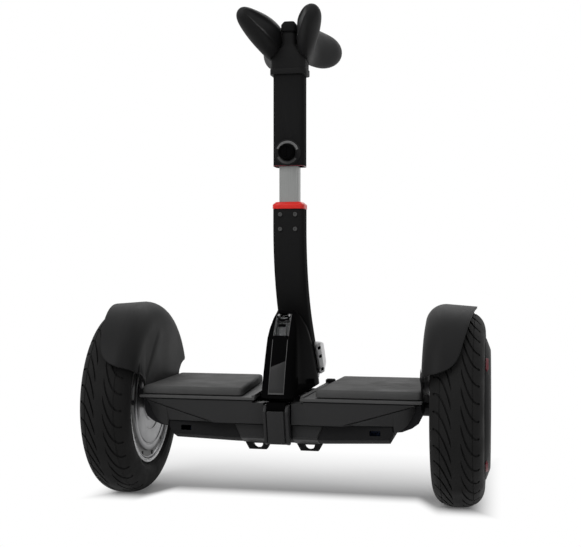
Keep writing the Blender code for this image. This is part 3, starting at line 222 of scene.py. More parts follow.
# %% Finishes: the common recipe
def finish(name, tones=None, gloss=None, grain=(), stretch=(1.0, 1.0, 1.0), **constants):
    """A Principled shader with patterns in its colour, gloss and bump.

    tones: the darkest and the lightest colour, and the pattern's scale.
    gloss: the lowest and the highest roughness, and the scale.
    grain: a strength, then bump layers of (scale, depth in metres)."""
    material = bpy.data.materials.new(name)
    material.use_nodes = True
    add = node_maker(material)
    shader = material.node_tree.nodes["Principled BSDF"]

    def noise(scale, detail):
        place = add("ShaderNodeTexCoord").outputs["Object"]
        mapped = add("ShaderNodeMapping", Vector=place, Scale=stretch).outputs["Vector"]
        return add("ShaderNodeTexNoise", Vector=mapped, Scale=scale, Detail=detail).outputs["Fac"]

    def feed(output, socket):
        material.node_tree.links.new(output, shader.inputs[socket])

    for socket, value in constants.items():
        shader.inputs[socket.replace("_", " ")].default_value = value
    if tones:
        dark, light, scale = tones
        colour = add("ShaderNodeMix", {"data_type": "RGBA"}, _0=noise(scale, 4.0), _6=(*dark, 1.0),
                     _7=(*light, 1.0))
        feed(colour.outputs[2], "Base Color")
    if gloss:
        low, high, scale = gloss
        spread = add("ShaderNodeMapRange", Value=noise(scale, 3.0), From_Min=0.3, From_Max=0.7, To_Min=low,
                     To_Max=high)
        feed(spread.outputs["Result"], "Roughness")
    bump = None
    for scale, depth in grain[1:]:
        under = {"Normal": bump} if bump else {}
        bump = add("ShaderNodeBump", Height=noise(scale, 2.0), Distance=depth, Strength=grain[0],
                   **under).outputs["Normal"]
    if bump:
        feed(bump, "Normal")
    return material


def grey(value, blue=0.0):
    """A neutral tone, with a little more blue where asked."""
    return (value, value, value + blue)

# %% [markdown]
# The scooter has few finishes, and they differ mostly in gloss: grained black plastic on the fenders and
# the lower cover, satin powder paint on the tubes and the front covers, piano-black plastic on the hump,
# soft rubber on the knee pads, coarser rubber on mats and tyres, and bare metal inside the wheels and on
# the post. The low index of refraction on the black ones keeps them dark where they are seen at a flat
# angle.

# %% Finishes: plastics and paint
BLACK_PLASTIC = finish("grained_black_plastic", (grey(0.0130, 0.0002), grey(0.0162, 0.0002), 9.0),
                       (0.46, 0.58, 14.0), (0.35, (2600.0, 0.00008), (700.0, 0.00005)), IOR=1.15)
BLACK_PAINT = finish("satin_black_paint", (grey(0.0148, 0.0002), grey(0.0175, 0.0002), 6.0),
                     (0.33, 0.43, 22.0), (0.25, (1500.0, 0.00006)), IOR=1.012)
PANEL_PAINT = finish("front_cover_paint", (grey(0.0258, 0.0004), grey(0.0305, 0.0004), 7.0),
                     (0.37, 0.48, 18.0), (0.3, (2200.0, 0.00007)), IOR=1.2)
GLOSSY_BLACK = finish("piano_black_plastic", (grey(0.0031, 0.0002), grey(0.0042, 0.0002), 5.0),
                      (0.06, 0.15, 11.0), IOR=1.009)
RED_PLASTIC = finish("red_plastic", ((0.68, 0.022, 0.017), (0.80, 0.032, 0.024), 30.0),
                     grain=(0.2, (1800.0, 0.00005)), Roughness=0.32, IOR=1.3)
WINE_RED = finish("wine_red_plastic", ((0.14, 0.003, 0.012), (0.18, 0.006, 0.017), 30.0), Roughness=0.24,
                  IOR=1.45)
DECK_PAINT = finish("deck_paint", (grey(0.066), grey(0.084), 12.0), grain=(0.3, (1900.0, 0.00006)),
                    Roughness=0.50, IOR=1.2)
# Grey trim for screws, the nose's sill and rails and the knob's lower arc; on the deck's rims it is a painted
# highlight.
GREY_TRIM_AND_HIGHLIGHT = finish("grey_trim_and_painted_highlight", (grey(0.066), grey(0.084), 25.0), grain=(0.2, (1600.0, 0.00005)),
                   Roughness=0.38, IOR=1.2)
# Light grey print; on the knob's upper arc its lightness is partly a painted highlight.
GREY_PRINT_AND_HIGHLIGHT = finish("grey_print", (grey(0.15), grey(0.23), 400.0), Roughness=0.45, IOR=1.2)
# Matt black without reflection: painted shade in the gap under the hump, and the socket screws' colour.
MATTE_BLACK_AND_SHADE = finish("matte_black_and_painted_shade", (grey(0.0025, 0.0001), grey(0.0035, 0.0001), 40.0), Roughness=0.80,
                     Specular_IOR_Level=0.0)

# %% Finishes: rubbers
TYRE_RUBBER = finish("tyre_rubber", (grey(0.0135), (0.0180, 0.0178, 0.0175), 26.0), (0.58, 0.76, 40.0),
                     (0.4, (1900.0, 0.00010), (240.0, 0.00010)), IOR=1.15)
MAT_RUBBER = finish("mat_rubber", (grey(0.066), grey(0.086, -0.001), 30.0), (0.60, 0.78, 35.0),
                    (0.5, (1300.0, 0.00014), (420.0, 0.00010)), IOR=1.2)
PAD_RUBBER = finish("pad_rubber", (grey(0.0120, 0.0003), grey(0.0160, 0.0003), 18.0), (0.48, 0.62, 24.0),
                    (0.4, (1500.0, 0.00009), (90.0, 0.00020)), IOR=1.2)
SOFT_BLACK = finish("soft_black_rubber", (grey(0.010, 0.0005), grey(0.014, 0.0005), 40.0),
                    grain=(0.3, (1700.0, 0.00008)), Roughness=0.72, IOR=1.2)

# %% [markdown]
# The sliding tube is drawn along its length, so its fine scratches run up and down: its pattern is
# stretched along Z. The socket is polished; its near-white colour, with little metal in the shader, is a
# painted reflection that keeps it bright where it faces away from the lamps. The rims' lips are machined
# and left bare.

# %% Finishes: metals
SATIN_ALUMINIUM = finish("satin_aluminium", (grey(0.19, 0.005), grey(0.27, 0.005), 30.0), (0.28, 0.40, 60.0),
                         (0.2, (900.0, 0.00006)), Metallic=0.8)
DRAWN_ALUMINIUM = finish("drawn_aluminium", ((0.22, 0.225, 0.22), (0.28, 0.285, 0.28), 900.0),
                         (0.30, 0.44, 1200.0), (0.15, (1600.0, 0.00004)), (1.0, 1.0, 0.02), Metallic=0.6)
# Near-white with little metal: a painted reflection for the polished socket.
POLISHED_ALUMINIUM_AND_REFLECTION = finish("polished_aluminium_painted_reflection", (grey(0.84), grey(0.95), 50.0), (0.32, 0.46, 80.0),
                            Metallic=0.1)
BRIGHT_ALUMINIUM = finish("bright_aluminium", (grey(0.60, 0.005), grey(0.72, 0.005), 40.0),
                          (0.34, 0.46, 70.0), Metallic=0.3)
# Dull alloy for the lamp housing and the motor covers' bolt band; on the band its darker tone is partly
# painted shade.
DULL_ALLOY_AND_SHADE = finish("dull_alloy_and_painted_shade", (grey(0.09), grey(0.13), 50.0), Roughness=0.50, Metallic=0.5)
CAST_ALLOY = finish("coated_cast_alloy", (grey(0.009, 0.001), grey(0.016, 0.001), 60.0),
                    grain=(0.6, (700.0, 0.00025)), Roughness=0.60, Metallic=0.2, IOR=1.2)
TURNED_STEEL = finish("turned_steel", ((0.42, 0.43, 0.45), (0.50, 0.51, 0.53), 45.0), (0.20, 0.36, 80.0),
                      Metallic=1.0)
# Blackened steel for the axles; on the motor bolts its near-black is partly painted shade of the bolt holes.
DARK_STEEL_AND_SHADE = finish("blackened_steel_and_painted_shade", (grey(0.008, 0.001), grey(0.013, 0.001), 90.0), (0.28, 0.45, 120.0),
                    Metallic=0.5, Specular_IOR_Level=0.20)

# %% Finishes: lamps and hidden pieces
CLEAR_LENS = finish("clear_lens", gloss=(0.03, 0.09, 30.0), Base_Color=(0.80, 0.81, 0.82, 1.0),
                    Transmission_Weight=1.0, IOR=1.12)
RED_LENS = finish("red_lens", ((0.26, 0.006, 0.006), (0.34, 0.011, 0.010), 60.0), Roughness=0.14,
                  Coat_Weight=0.5, Coat_Roughness=0.05)
CIRCUIT_BOARD = finish("circuit_board", ((0.003, 0.015, 0.007), (0.007, 0.026, 0.013), 220.0), Roughness=0.55,
                       IOR=1.2)
BATTERY_WRAP = finish("battery_wrap", ((0.016, 0.050, 0.17), (0.026, 0.072, 0.23), 35.0),
                      grain=(0.5, (110.0, 0.0006)), Roughness=0.35)
COPPER_WINDING = finish("copper_winding", ((0.44, 0.18, 0.08), (0.60, 0.28, 0.14), 300.0),
                        grain=(0.6, (900.0, 0.0004)), Roughness=0.30, Metallic=1.0)


def add_lens_ribs(material):
    """A tail light's lens has fine upright ribs inside, which the bump shows."""
    add = node_maker(material)
    place = add("ShaderNodeTexCoord").outputs["Object"]
    ribs = add("ShaderNodeTexWave", {"bands_direction": "X"}, Vector=place, Scale=160.0)
    bump = add("ShaderNodeBump", Height=ribs.outputs["Fac"], Distance=0.0003, Strength=0.5)
    material.node_tree.links.new(bump.outputs["Normal"],
                                 material.node_tree.nodes["Principled BSDF"].inputs["Normal"])


add_lens_ribs(RED_LENS)
print("finishes:", len(bpy.data.materials))

# %% [markdown]
# ## Solids that keep their own shape
#
# The pieces inside the base and the wheels can't be seen from outside, and their solids already have the
# right form. They stay as they are and only get a finish, assigned to the slots of their own objects.

# %% Finishes on the solids that stay
HIDDEN_FINISHES = {
    "chassis_frame": CAST_ALLOY, "steering_shaft": CAST_ALLOY,
    "battery_pack": BATTERY_WRAP, "control_board": CIRCUIT_BOARD,
}
for word in ("left", "right"):
    HIDDEN_FINISHES[f"pressure_pad_{word}"] = SOFT_BLACK
    HIDDEN_FINISHES[f"axle_{word}"] = DARK_STEEL_AND_SHADE
    HIDDEN_FINISHES[f"stator_{word}"] = COPPER_WINDING
    for part in ("magnet_ring", "bearing_inner", "bearing_outer"):
        HIDDEN_FINISHES[f"{part}_{word}"] = TURNED_STEEL
for solid_name, solid_finish in HIDDEN_FINISHES.items():
    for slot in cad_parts[solid_name].material_slots:
        slot.link = "OBJECT"
        slot.material = solid_finish
print("solids with only a finish:", len(HIDDEN_FINISHES))

# %% [markdown]
# ## Tools used for every piece
#
# Operators act on all that is selected, so `only` selects one piece first, and `editing` opens it in edit
# mode with everything selected and closes it again. `settle` is the last step of each new piece: it gives
# it a name, a finish, smooth shading that keeps edges sharper than an angle and the body that it moves with,
# and it hides the solid that it stands for. A piece's object ends at the origin, unturned and unscaled, with
# its place in its mesh.


# %% Tools: selecting, editing and settling
def only(*pieces):
    """Select these objects and nothing else, and make the last one active."""
    bpy.ops.object.select_all(action="DESELECT")
    for piece in pieces:
        piece.select_set(True)
        bpy.context.view_layer.objects.active = piece


@contextmanager
def editing(piece):
    only(piece)
    bpy.ops.object.mode_set(mode="EDIT")
    bpy.ops.mesh.select_all(action="SELECT")
    yield
    bpy.ops.object.mode_set(mode="OBJECT")


def apply_place(piece):
    only(piece)
    bpy.ops.object.transform_apply(location=True, rotation=True, scale=True)


def settle(piece, name, material, body, slot, *replaces, angle=38.0):
    piece.name = name
    piece.data.name = name
    apply_place(piece)
    piece.data.materials.clear()
    piece.data.materials.append(material)
    bpy.ops.object.shade_smooth_by_angle(angle=radians(angle))
    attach(piece, body)
    if replaces:
        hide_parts(*replaces)


def joined(*pieces):
    """Join pieces into the last one."""
    only(*pieces)
    bpy.ops.object.join()
    return pieces[-1]

# %% [markdown]
# A modifier is a recipe that Blender keeps beside the mesh. Applied, it becomes real faces. Every moulded,
# cast or cut edge has a small radius that catches the light, and the Bevel modifier gives it.


# %% Tools: modifiers, edges and normals
def apply_modifiers(piece):
    only(piece)
    for modifier in list(piece.modifiers):
        bpy.ops.object.modifier_apply(modifier=modifier.name)


def bevel_edges(piece, width, segments=3, angle=35.0):
    """Round every edge that turns by more than the angle, keep the flat faces flat, and apply."""
    modifier = piece.modifiers.new("bevel", "BEVEL")
    modifier.width = width
    modifier.segments = segments
    modifier.limit_method = "ANGLE"
    modifier.angle_limit = radians(angle)
    apply_modifiers(piece)


def face_outwards():
    """In edit mode: make every face point outwards."""
    bpy.ops.mesh.select_all(action="SELECT")
    bpy.ops.mesh.normals_make_consistent(inside=False)


def extrude_by(*shift):
    bpy.ops.mesh.extrude_region_move(TRANSFORM_OT_translate={"value": shift})


def choose(piece, kind, test):
    """In edit mode, select the faces or edges for which a test of their middle and normal holds."""
    bm = bmesh.from_edit_mesh(piece.data)
    bpy.ops.mesh.select_all(action="DESELECT")
    for item in getattr(bm, kind):
        middle = sum((vertex.co for vertex in item.verts), Vector()) / len(item.verts)
        item.select = test(middle, item.normal if kind == "faces" else None)
    bm.select_flush_mode()
    bmesh.update_edit_mesh(piece.data)

# %% [markdown]
# Some solids already have the right outline and lack only soft edges. `refined` copies the solid, merges
# its loose triangles, dissolves the ones that lie flat in one face, and then rounds the edges as a mould
# would.

# %% Tools: a rounded copy of a solid
SOLID_SEAM = 0.00002
FLAT_ANGLE = radians(1.5)


def refined(node, edge, segments=3):
    piece = bpy.data.objects.new(node + "_copy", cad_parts[node].data.copy())
    bpy.context.scene.collection.objects.link(piece)
    with editing(piece):
        bpy.ops.mesh.remove_doubles(threshold=SOLID_SEAM)
        bpy.ops.mesh.customdata_custom_splitnormals_clear()
        bpy.ops.mesh.dissolve_limited(angle_limit=FLAT_ANGLE)
    bevel_edges(piece, edge, segments, 30.0)
    return piece

# %% [markdown]
# A turned piece starts as a plain circle with as many points as its profile. Each point is moved to its
# place in the profile, and the Spin operator sweeps the outline once round the axle. A piece with a
# changing section is a plain grid instead, laid through rows of points, and its seams are merged.

# %% Tools: turned pieces and grids
WHEEL_X = 0.2322
WHEEL_RADIUS = 0.131
AXLE_POINT = (0.0, 0.0, WHEEL_RADIUS)
SIDES = (("left", -1), ("right", 1))
SEAM = 0.00001
TURN_STEPS = 112


def profile_loop(points):
    """A closed edge loop through (x, y, z) points, added as a circle and laid out point by point."""
    only()
    bpy.ops.mesh.primitive_circle_add(vertices=len(points), radius=0.01)
    loop = bpy.context.object
    for vertex, point in zip(loop.data.vertices, points):
        vertex.co = point
    return loop


def close_seams(piece, fill=False):
    """Merge points that meet, close open ends if asked, and make every face point outwards."""
    with editing(piece):
        bpy.ops.mesh.remove_doubles(threshold=SEAM)
        bpy.ops.mesh.dissolve_degenerate(threshold=SEAM)
        if fill:
            bpy.ops.mesh.fill_holes(sides=0)
        face_outwards()


def spun(points, centre, axis, steps):
    """Sweep a closed outline once round an axis, and close the seam."""
    piece = profile_loop(points)
    with editing(piece):
        bpy.ops.mesh.spin(steps=steps, angle=2 * pi, center=centre, axis=axis)
    close_seams(piece)
    return piece


def wheel_turned(side, profile):
    """Turn (radius, offset) points about a wheel's axis; offsets run outwards from its middle plane."""
    points = [(side * (WHEEL_X + offset), 0.0, WHEEL_RADIUS + radius) for radius, offset in profile]
    return spun(points, AXLE_POINT, (1.0, 0.0, 0.0), TURN_STEPS)


def grid_through(rows):
    """A grid of quads through rows of points; all rows are equally long."""
    only()
    bpy.ops.mesh.primitive_grid_add(x_subdivisions=len(rows[0]) - 1, y_subdivisions=len(rows) - 1, size=1.0)
    sheet = bpy.context.object
    sheet.data.vertices.foreach_set("co", [value for row in rows for point in row for value in point])
    sheet.data.update()
    return sheet

# %% [markdown]
# Plain shapes serve as starting blanks and as cutters. `move_mesh` applies moves and turns to the mesh
# itself, so that the object stays at the origin. A Boolean with the Exact solver then subtracts a cutter
# cleanly.


# %% Tools: blanks and cutters
def move_mesh(piece, *steps):
    for step in steps:
        piece.data.transform(step)
    piece.data.update()


def turned(angle, axis):
    return Matrix.Rotation(angle, 4, axis)


def turned_about(centre, angle, axis):
    return Matrix.Translation(centre) @ turned(angle, axis) @ Matrix.Translation(-Vector(centre))


def rounded_block(corner, opposite, edge=0.0, segments=3):
    """A box between two corners with all its edges rounded."""
    low = Vector([min(pair) for pair in zip(corner, opposite)])
    high = Vector([max(pair) for pair in zip(corner, opposite)])
    only()
    bpy.ops.mesh.primitive_cube_add(size=1.0, location=(low + high) / 2)
    piece = bpy.context.object
    piece.scale = high - low
    apply_place(piece)
    if edge:
        bevel_edges(piece, edge, segments)
    return piece


def rod(radius, depth, place, axis, vertices):
    """A cylinder along X or Y."""
    only()
    turn = (0.0, pi / 2, 0.0) if axis == "X" else (pi / 2, 0.0, 0.0)
    bpy.ops.mesh.primitive_cylinder_add(vertices=vertices, radius=radius, depth=depth, location=place,
                                        rotation=turn)
    apply_place(bpy.context.object)
    return bpy.context.object


def extruded(points, shift, edge=0.0, segments=3):
    """A flat outline, filled, extruded by a shift, and rounded."""
    plate = profile_loop(points)
    with editing(plate):
        bpy.ops.mesh.edge_face_add()
        extrude_by(*shift)
        face_outwards()
    if edge:
        bevel_edges(plate, edge, segments, 20.0)
    return plate


def cut_with(piece, *cutters):
    """Subtract closed shapes and delete them."""
    for cutter in cutters:
        modifier = piece.modifiers.new("cut", "BOOLEAN")
        modifier.operation = "DIFFERENCE"
        modifier.solver = "EXACT"
        modifier.object = cutter
        apply_modifiers(piece)
        bpy.data.objects.remove(cutter, do_unlink=True)


def thicken(piece, thickness, given_side, edge=0.0):
    """Give a sheet its wall and round its rim.

    The face in the middle of the sheet looks towards the given side, and the wall grows away from there."""
    middle = piece.data.polygons[len(piece.data.polygons) // 2]
    if middle.normal.dot(Vector(given_side)) < 0:
        with editing(piece):
            bpy.ops.mesh.flip_normals()
    wall = piece.modifiers.new("wall", "SOLIDIFY")
    wall.thickness = thickness
    wall.offset = -1.0
    wall.use_even_offset = True
    apply_modifiers(piece)
    if edge:
        bevel_edges(piece, edge, 2, 60.0)

# %% [markdown]
# ## Tyres
#
# The tread has a row of curved cuts in each half. Each cut starts in a round pit near the shoulder and
# sweeps towards the middle while it runs along the tyre, and the two halves are the same when the tyre is
# turned half a turn about its middle. Cutting such shapes out afterwards would leave ragged triangles, so
# the mesh itself follows the pattern: it is a net of rows round the tyre and columns across it, every
# column runs along a cut, and the cut is a narrow strip of columns that is pushed down. The rubber stays
# clean quads everywhere.

# %% Tyres: the tread pattern
PITCHES = 35
PITCH = 2 * pi / PITCHES
COLUMNS = 10
TYRE_SECTION = 0.031
TYRE_HALF = 0.0342
CROWN_POWER = 0.83
PIT_AT = 0.0268
PIT_RADIUS = 0.0019
CUT_END = 0.0058
CUT_DEPTH = 0.0026
PATTERN_START = 0.0012
SWEEP = 1.75


def share_of(value, start, end):
    """How far a value has come from start to end, from 0 to 1."""
    return min(max((value - start) / (end - start), 0.0), 1.0)


def crown_radius(across):
    """Radius of the tyre's outer surface at a distance from its middle plane."""
    lean = min(abs(across) / TYRE_HALF, 1.0) ** (1.0 / CROWN_POWER)
    return WHEEL_RADIUS - TYRE_SECTION + TYRE_SECTION * max(1.0 - lean * lean, 0.0) ** (0.5 * CROWN_POWER)


def cut_half_width(across):
    """Half the extent of a cut round the tyre: a round pit at the shoulder, then a line that tapers inwards.

    Towards the middle the cut runs almost along the tyre, so the same width takes more of the way round."""
    if abs(across - PIT_AT) < PIT_RADIUS:
        return max(sqrt(PIT_RADIUS ** 2 - (across - PIT_AT) ** 2), 0.0011)
    share = share_of(across, CUT_END, PIT_AT)
    slope = 2 * SWEEP * (1.0 - share) * PITCH * WHEEL_RADIUS / (PIT_AT - CUT_END)
    return (0.00105 + 0.00055 * share) * sqrt(1.0 + slope * slope)


def cut_depth(across):
    if CUT_END < across < PIT_AT + 0.0015:
        return CUT_DEPTH * min(1.0, (across - CUT_END) / 0.0030 + 0.25)
    return 0.0


def column_offsets(across):
    """Where the columns of one pitch stand, in shares of it: four close to the cut, the rest evenly."""
    half = cut_half_width(across) / (WHEEL_RADIUS * PITCH)
    wall = 0.22 * half
    land = COLUMNS - 4
    near = [-half, -half + wall, half - wall, half]
    spread = [half + (1.0 - 2 * half) * (step + 1) / (land + 1) for step in range(land)]
    even = [(step - 1.5) / COLUMNS for step in range(COLUMNS)]
    hold = share_of(across, PATTERN_START, CUT_END)
    return [even_at + (clustered - even_at) * hold for even_at, clustered in zip(even, near + spread)]

# %% Tyres: rows from the middle of the tread to the bead
LINE_AT = 0.0200
LINE_DEPTH = 0.0008
TREAD_ROWS = [0.0, PATTERN_START, 0.0025, 0.0040, CUT_END, CUT_END + 0.0003, 0.0075, 0.0092, 0.0110, 0.0128,
              0.0146, 0.0164, 0.0182, LINE_AT - 0.0009, LINE_AT - 0.0004, LINE_AT + 0.0004, LINE_AT + 0.0009,
              0.0220, 0.0236, PIT_AT - PIT_RADIUS, PIT_AT - 0.0014, PIT_AT - 0.0007, PIT_AT, PIT_AT + 0.0007,
              PIT_AT + 0.0014, PIT_AT + PIT_RADIUS, 0.0298, 0.0312, 0.0324, 0.0333, 0.0339]
SIDE_ROWS = [(0.1000, 0.0342), (0.0978, 0.0338), (0.0960, 0.0330), (0.0950, 0.0325), (0.0940, 0.0325),
             (0.0930, 0.0312), (0.0915, 0.0285), (0.0902, 0.0268), (0.0890, 0.0263), (0.0853, 0.0262),
             (0.0853, 0.0200), (0.0905, 0.0200), (0.1060, 0.0262), (0.1160, 0.0235), (0.1205, 0.0120)]
INNER_RADIUS = 0.1225
CENTRE_TWIST = 36


def tread_angles(across, half):
    """Angles of one row's points, in pitches, for the +X half (1) or the -X half (-1) of the tyre."""
    share = share_of(across, PIT_AT, CUT_END)
    shift = half * SWEEP * share * share + (0.0 if half > 0 else 0.5)
    offsets = column_offsets(across)
    if half < 0:
        offsets = [-offset for offset in reversed(offsets)]
    return [pitch + offset + shift for pitch in range(PITCHES) for offset in offsets]


def ring_of(angles, radii, offset):
    """Points round the axle, for angles in pitches, at a distance from the wheel's middle plane."""
    return [(offset, -radius * cos(angle * PITCH), radius * sin(angle * PITCH))
            for angle, radius in zip(angles, radii)]


def tread_row(across, half):
    radius = crown_radius(across)
    if abs(across - LINE_AT) < 0.0005:
        radius -= LINE_DEPTH
    deep = (1, 2) if half > 0 else (COLUMNS - 3, COLUMNS - 2)
    low = radius - cut_depth(across)
    radii = [low if number % COLUMNS in deep else radius for number in range(PITCHES * COLUMNS)]
    return ring_of(tread_angles(across, half), radii, half * across)


def side_row(radius, offset, half):
    """A row of the flank, the bead or the inside, with the columns of the tread's last row."""
    angles = tread_angles(TYRE_HALF, half)
    return ring_of(angles, [radius] * len(angles), half * offset)


def inner_ring(turn):
    """The row inside the tyre, on the middle plane, where the two halves meet."""
    angles = [(number + turn) / COLUMNS for number in range(PITCHES * COLUMNS)]
    return ring_of(angles, [INNER_RADIUS] * len(angles), 0.0)

# %% [markdown]
# The -X half's rows start further round, so that their columns meet those of the +X half at the centre.
# Both tyres are the same, so the net is laid once about the origin, and each wheel gets a copy with its own
# mesh.


# %% Tyres: laying the net and closing it
def build_tyre():
    rows = [inner_ring(-1)]
    rows += [side_row(radius, offset, 1) for radius, offset in reversed(SIDE_ROWS)]
    rows += [tread_row(across, 1) for across in reversed(TREAD_ROWS)]
    far_rows = [tread_row(across, -1) for across in TREAD_ROWS[1:]]
    far_rows += [side_row(radius, offset, -1) for radius, offset in SIDE_ROWS]
    rows += [row[CENTRE_TWIST:] + row[:CENTRE_TWIST] for row in far_rows]
    rows.append(inner_ring(CENTRE_TWIST - 4))
    tyre = grid_through([row + row[:1] for row in rows])
    close_seams(tyre)
    return tyre


tyre_pattern = build_tyre()
print("tyre faces:", len(tyre_pattern.data.polygons))
for word, side in SIDES:
    tyre = bpy.data.objects.new(f"{word}_tyre", tyre_pattern.data.copy())
    bpy.context.scene.collection.objects.link(tyre)
    move_mesh(tyre, Matrix.Translation((side * WHEEL_X, 0.0, WHEEL_RADIUS)))
    settle(tyre, f"{word}_tyre", TYRE_RUBBER, f"wheel_{word}", "tyre", f"tyre_{word}", angle=28.0)
bpy.data.objects.remove(tyre_pattern, do_unlink=True)

# %% [markdown]
# ## Rims and motor covers
#
# Each wheel is its own motor: the rim is the motor's casing, and a flat cover with bolts closes it on the
# side towards the deck. Both are turned parts, so both are outlines swept round the axle. The edges of the
# outline are rounded afterwards, because a turned edge always has a small radius that catches the light.

# %% Rims and motor covers
BOLT_CIRCLE = 0.0782
BOLTS = 12
BOLT_RADIUS = 0.0032
BOLT_HEAD = 0.0014
BOLT_OFFSET = 0.0266
VALVE_OFFSET = 0.0275
VALVE_YZ = (-0.0770, 0.1361)
# Radii of the bolt band, which gets the darker alloy as painted shade of its recess.
PAINTED_SHADE_BAND = (0.0712, 0.0799)


def build_rim(word, side):
    rim = wheel_turned(side, [
        (0.0882, 0.0290), (0.0882, 0.0265), (0.0850, 0.0265), (0.0832, 0.0), (0.0850, -0.0265),
        (0.0882, -0.0265), (0.0882, -0.0290), (0.0872, -0.0290), (0.0866, -0.0280), (0.0858, -0.0280),
        (0.0852, -0.0290), (0.0838, -0.0290), (0.0838, -0.0250), (0.0803, -0.0250), (0.0803, 0.0170),
        (0.0143, 0.0170), (0.0143, 0.0262), (0.0200, 0.0262), (0.0200, 0.0215), (0.0790, 0.0215),
        (0.0835, 0.0290)])
    bevel_edges(rim, 0.0004, 2)
    settle(rim, f"{word}_rim", BRIGHT_ALUMINIUM, f"wheel_{word}", "aluminium", f"rim_{word}")


def build_motor_cover(word, side):
    """The cover, with a darker metal in the band that holds the bolts: partly a duller metal, partly painted
    shade of the recess.
    """
    cover = wheel_turned(side, [
        (0.0797, -0.0215), (0.0797, -0.0253), (0.0831, -0.0253), (0.0829, -0.0262), (0.0819, -0.0280),
        (0.0807, -0.0280), (0.0797, -0.0262), (0.0722, -0.0258), (0.0714, -0.0281), (0.0700, -0.0290),
        (0.0640, -0.0290), (0.0632, -0.0276), (0.0618, -0.0276), (0.0610, -0.0290), (0.0420, -0.0290),
        (0.0410, -0.0280), (0.0300, -0.0280), (0.0290, -0.0290), (0.0143, -0.0290), (0.0143, -0.0205),
        (0.0200, -0.0205), (0.0200, -0.0245), (0.0765, -0.0245), (0.0765, -0.0215)])
    bevel_edges(cover, 0.0003, 2)
    settle(cover, f"{word}_motor_cover", SATIN_ALUMINIUM, f"wheel_{word}", "aluminium", f"motor_cover_{word}")
    cover.data.materials.append(DULL_ALLOY_AND_SHADE)
    for face in cover.data.polygons:
        radius = sqrt(face.center.y ** 2 + (face.center.z - WHEEL_RADIUS) ** 2)
        face.material_index = 1 if PAINTED_SHADE_BAND[0] < radius < PAINTED_SHADE_BAND[1] else 0


def build_bolt(word, side, number):
    """A button-head bolt with a socket, its head towards the deck; its near-black is partly painted shade of
    the bolt holes.
    """
    angle = 2 * pi * (number + 0.25) / BOLTS
    place = (side * (WHEEL_X - BOLT_OFFSET), BOLT_CIRCLE * cos(angle),
             WHEEL_RADIUS + BOLT_CIRCLE * sin(angle))
    bolt = rod(BOLT_RADIUS, BOLT_HEAD, place, "X", 18)
    with editing(bolt):
        choose(bolt, "faces", lambda middle, normal: normal.x * -side > 0.9)
        bpy.ops.mesh.inset(thickness=BOLT_RADIUS * 0.5, depth=0.0)
        bpy.ops.mesh.inset(thickness=BOLT_RADIUS * 0.02, depth=-0.0009)
    bevel_edges(bolt, 0.0002, 2, 50.0)
    settle(bolt, f"{word}_motor_bolt_{number}", DARK_STEEL_AND_SHADE, f"wheel_{word}", "steel")


def build_valve(word, side):
    valve = rod(0.0034, 0.0060, (side * (WHEEL_X - VALVE_OFFSET), *VALVE_YZ), "X", 24)
    bevel_edges(valve, 0.0006, 2, 50.0)
    settle(valve, f"{word}_valve", SOFT_BLACK, f"wheel_{word}", "tyre")


for word, side in SIDES:
    build_rim(word, side)
    build_motor_cover(word, side)
    for number in range(BOLTS):
        build_bolt(word, side, number)
    build_valve(word, side)
print("motor bolts:", len(SIDES) * BOLTS)

# %% [markdown]
# ## Hub caps
#
# A dished plastic cap closes the outer side of each wheel. Four slots near its edge show a red ring behind
# it. The cap is turned, the slots are cut with a Boolean from rounded blocks, and the red ring is a turned
# piece of its own, with a tongue that fills each slot.

# %% Hub caps and their red rings
CAP_FACE = 0.0408
CAP_DIP = CAP_FACE - 0.0006
CAP_FLAT = 0.0795
CAP_EDGE = 0.0940
CAP_SLOPE = 0.0058 / (CAP_EDGE - CAP_FLAT)
SLOT_REACH = 0.0900
SLOT_MIDDLE = 0.0360
SLOT_HALVES = Vector((0.0060, 0.0095, 0.0028))
SLOT_TURNS = [number * pi / 2 - pi / 4 for number in range(4)]
TONGUE_REACH = SLOT_REACH - 0.0004
RING_SECTION = [(0.0871, 0.0), (0.0898, -0.0004), (0.0925, 0.0), (0.0925, 0.0010), (0.0871, 0.0010)]


def build_hub_cap(word, side):
    cap = wheel_turned(side, [
        (0.0, 0.0380), (0.0, CAP_FACE - 0.0010), (0.0240, CAP_FACE - 0.0010), (0.0250, CAP_FACE - 0.0004),
        (0.0262, CAP_FACE), (0.0560, CAP_FACE), (0.0568, CAP_DIP), (0.0582, CAP_DIP), (0.0590, CAP_FACE),
        (CAP_FLAT - 0.0010, CAP_FACE), (CAP_FLAT + 0.0010, CAP_DIP), (CAP_EDGE - 0.0006, 0.0354),
        (CAP_EDGE, 0.0345), (CAP_EDGE - 0.0002, 0.0333), (0.0868, 0.0358), (0.0868, 0.0293), (0.0848, 0.0293),
        (0.0848, 0.0366), (0.0790, 0.0387), (0.0500, 0.0387)])
    middle = Vector((side * (WHEEL_X + SLOT_MIDDLE), 0.0, WHEEL_RADIUS + SLOT_REACH))
    for turn in SLOT_TURNS:
        slot = rounded_block(middle - SLOT_HALVES, middle + SLOT_HALVES, 0.0012)
        move_mesh(slot, turned_about(AXLE_POINT, turn, "X"))
        cut_with(cap, slot)
    settle(cap, f"{word}_hub_cap", BLACK_PLASTIC, f"wheel_{word}", "moulded_black", f"hub_cap_{word}")


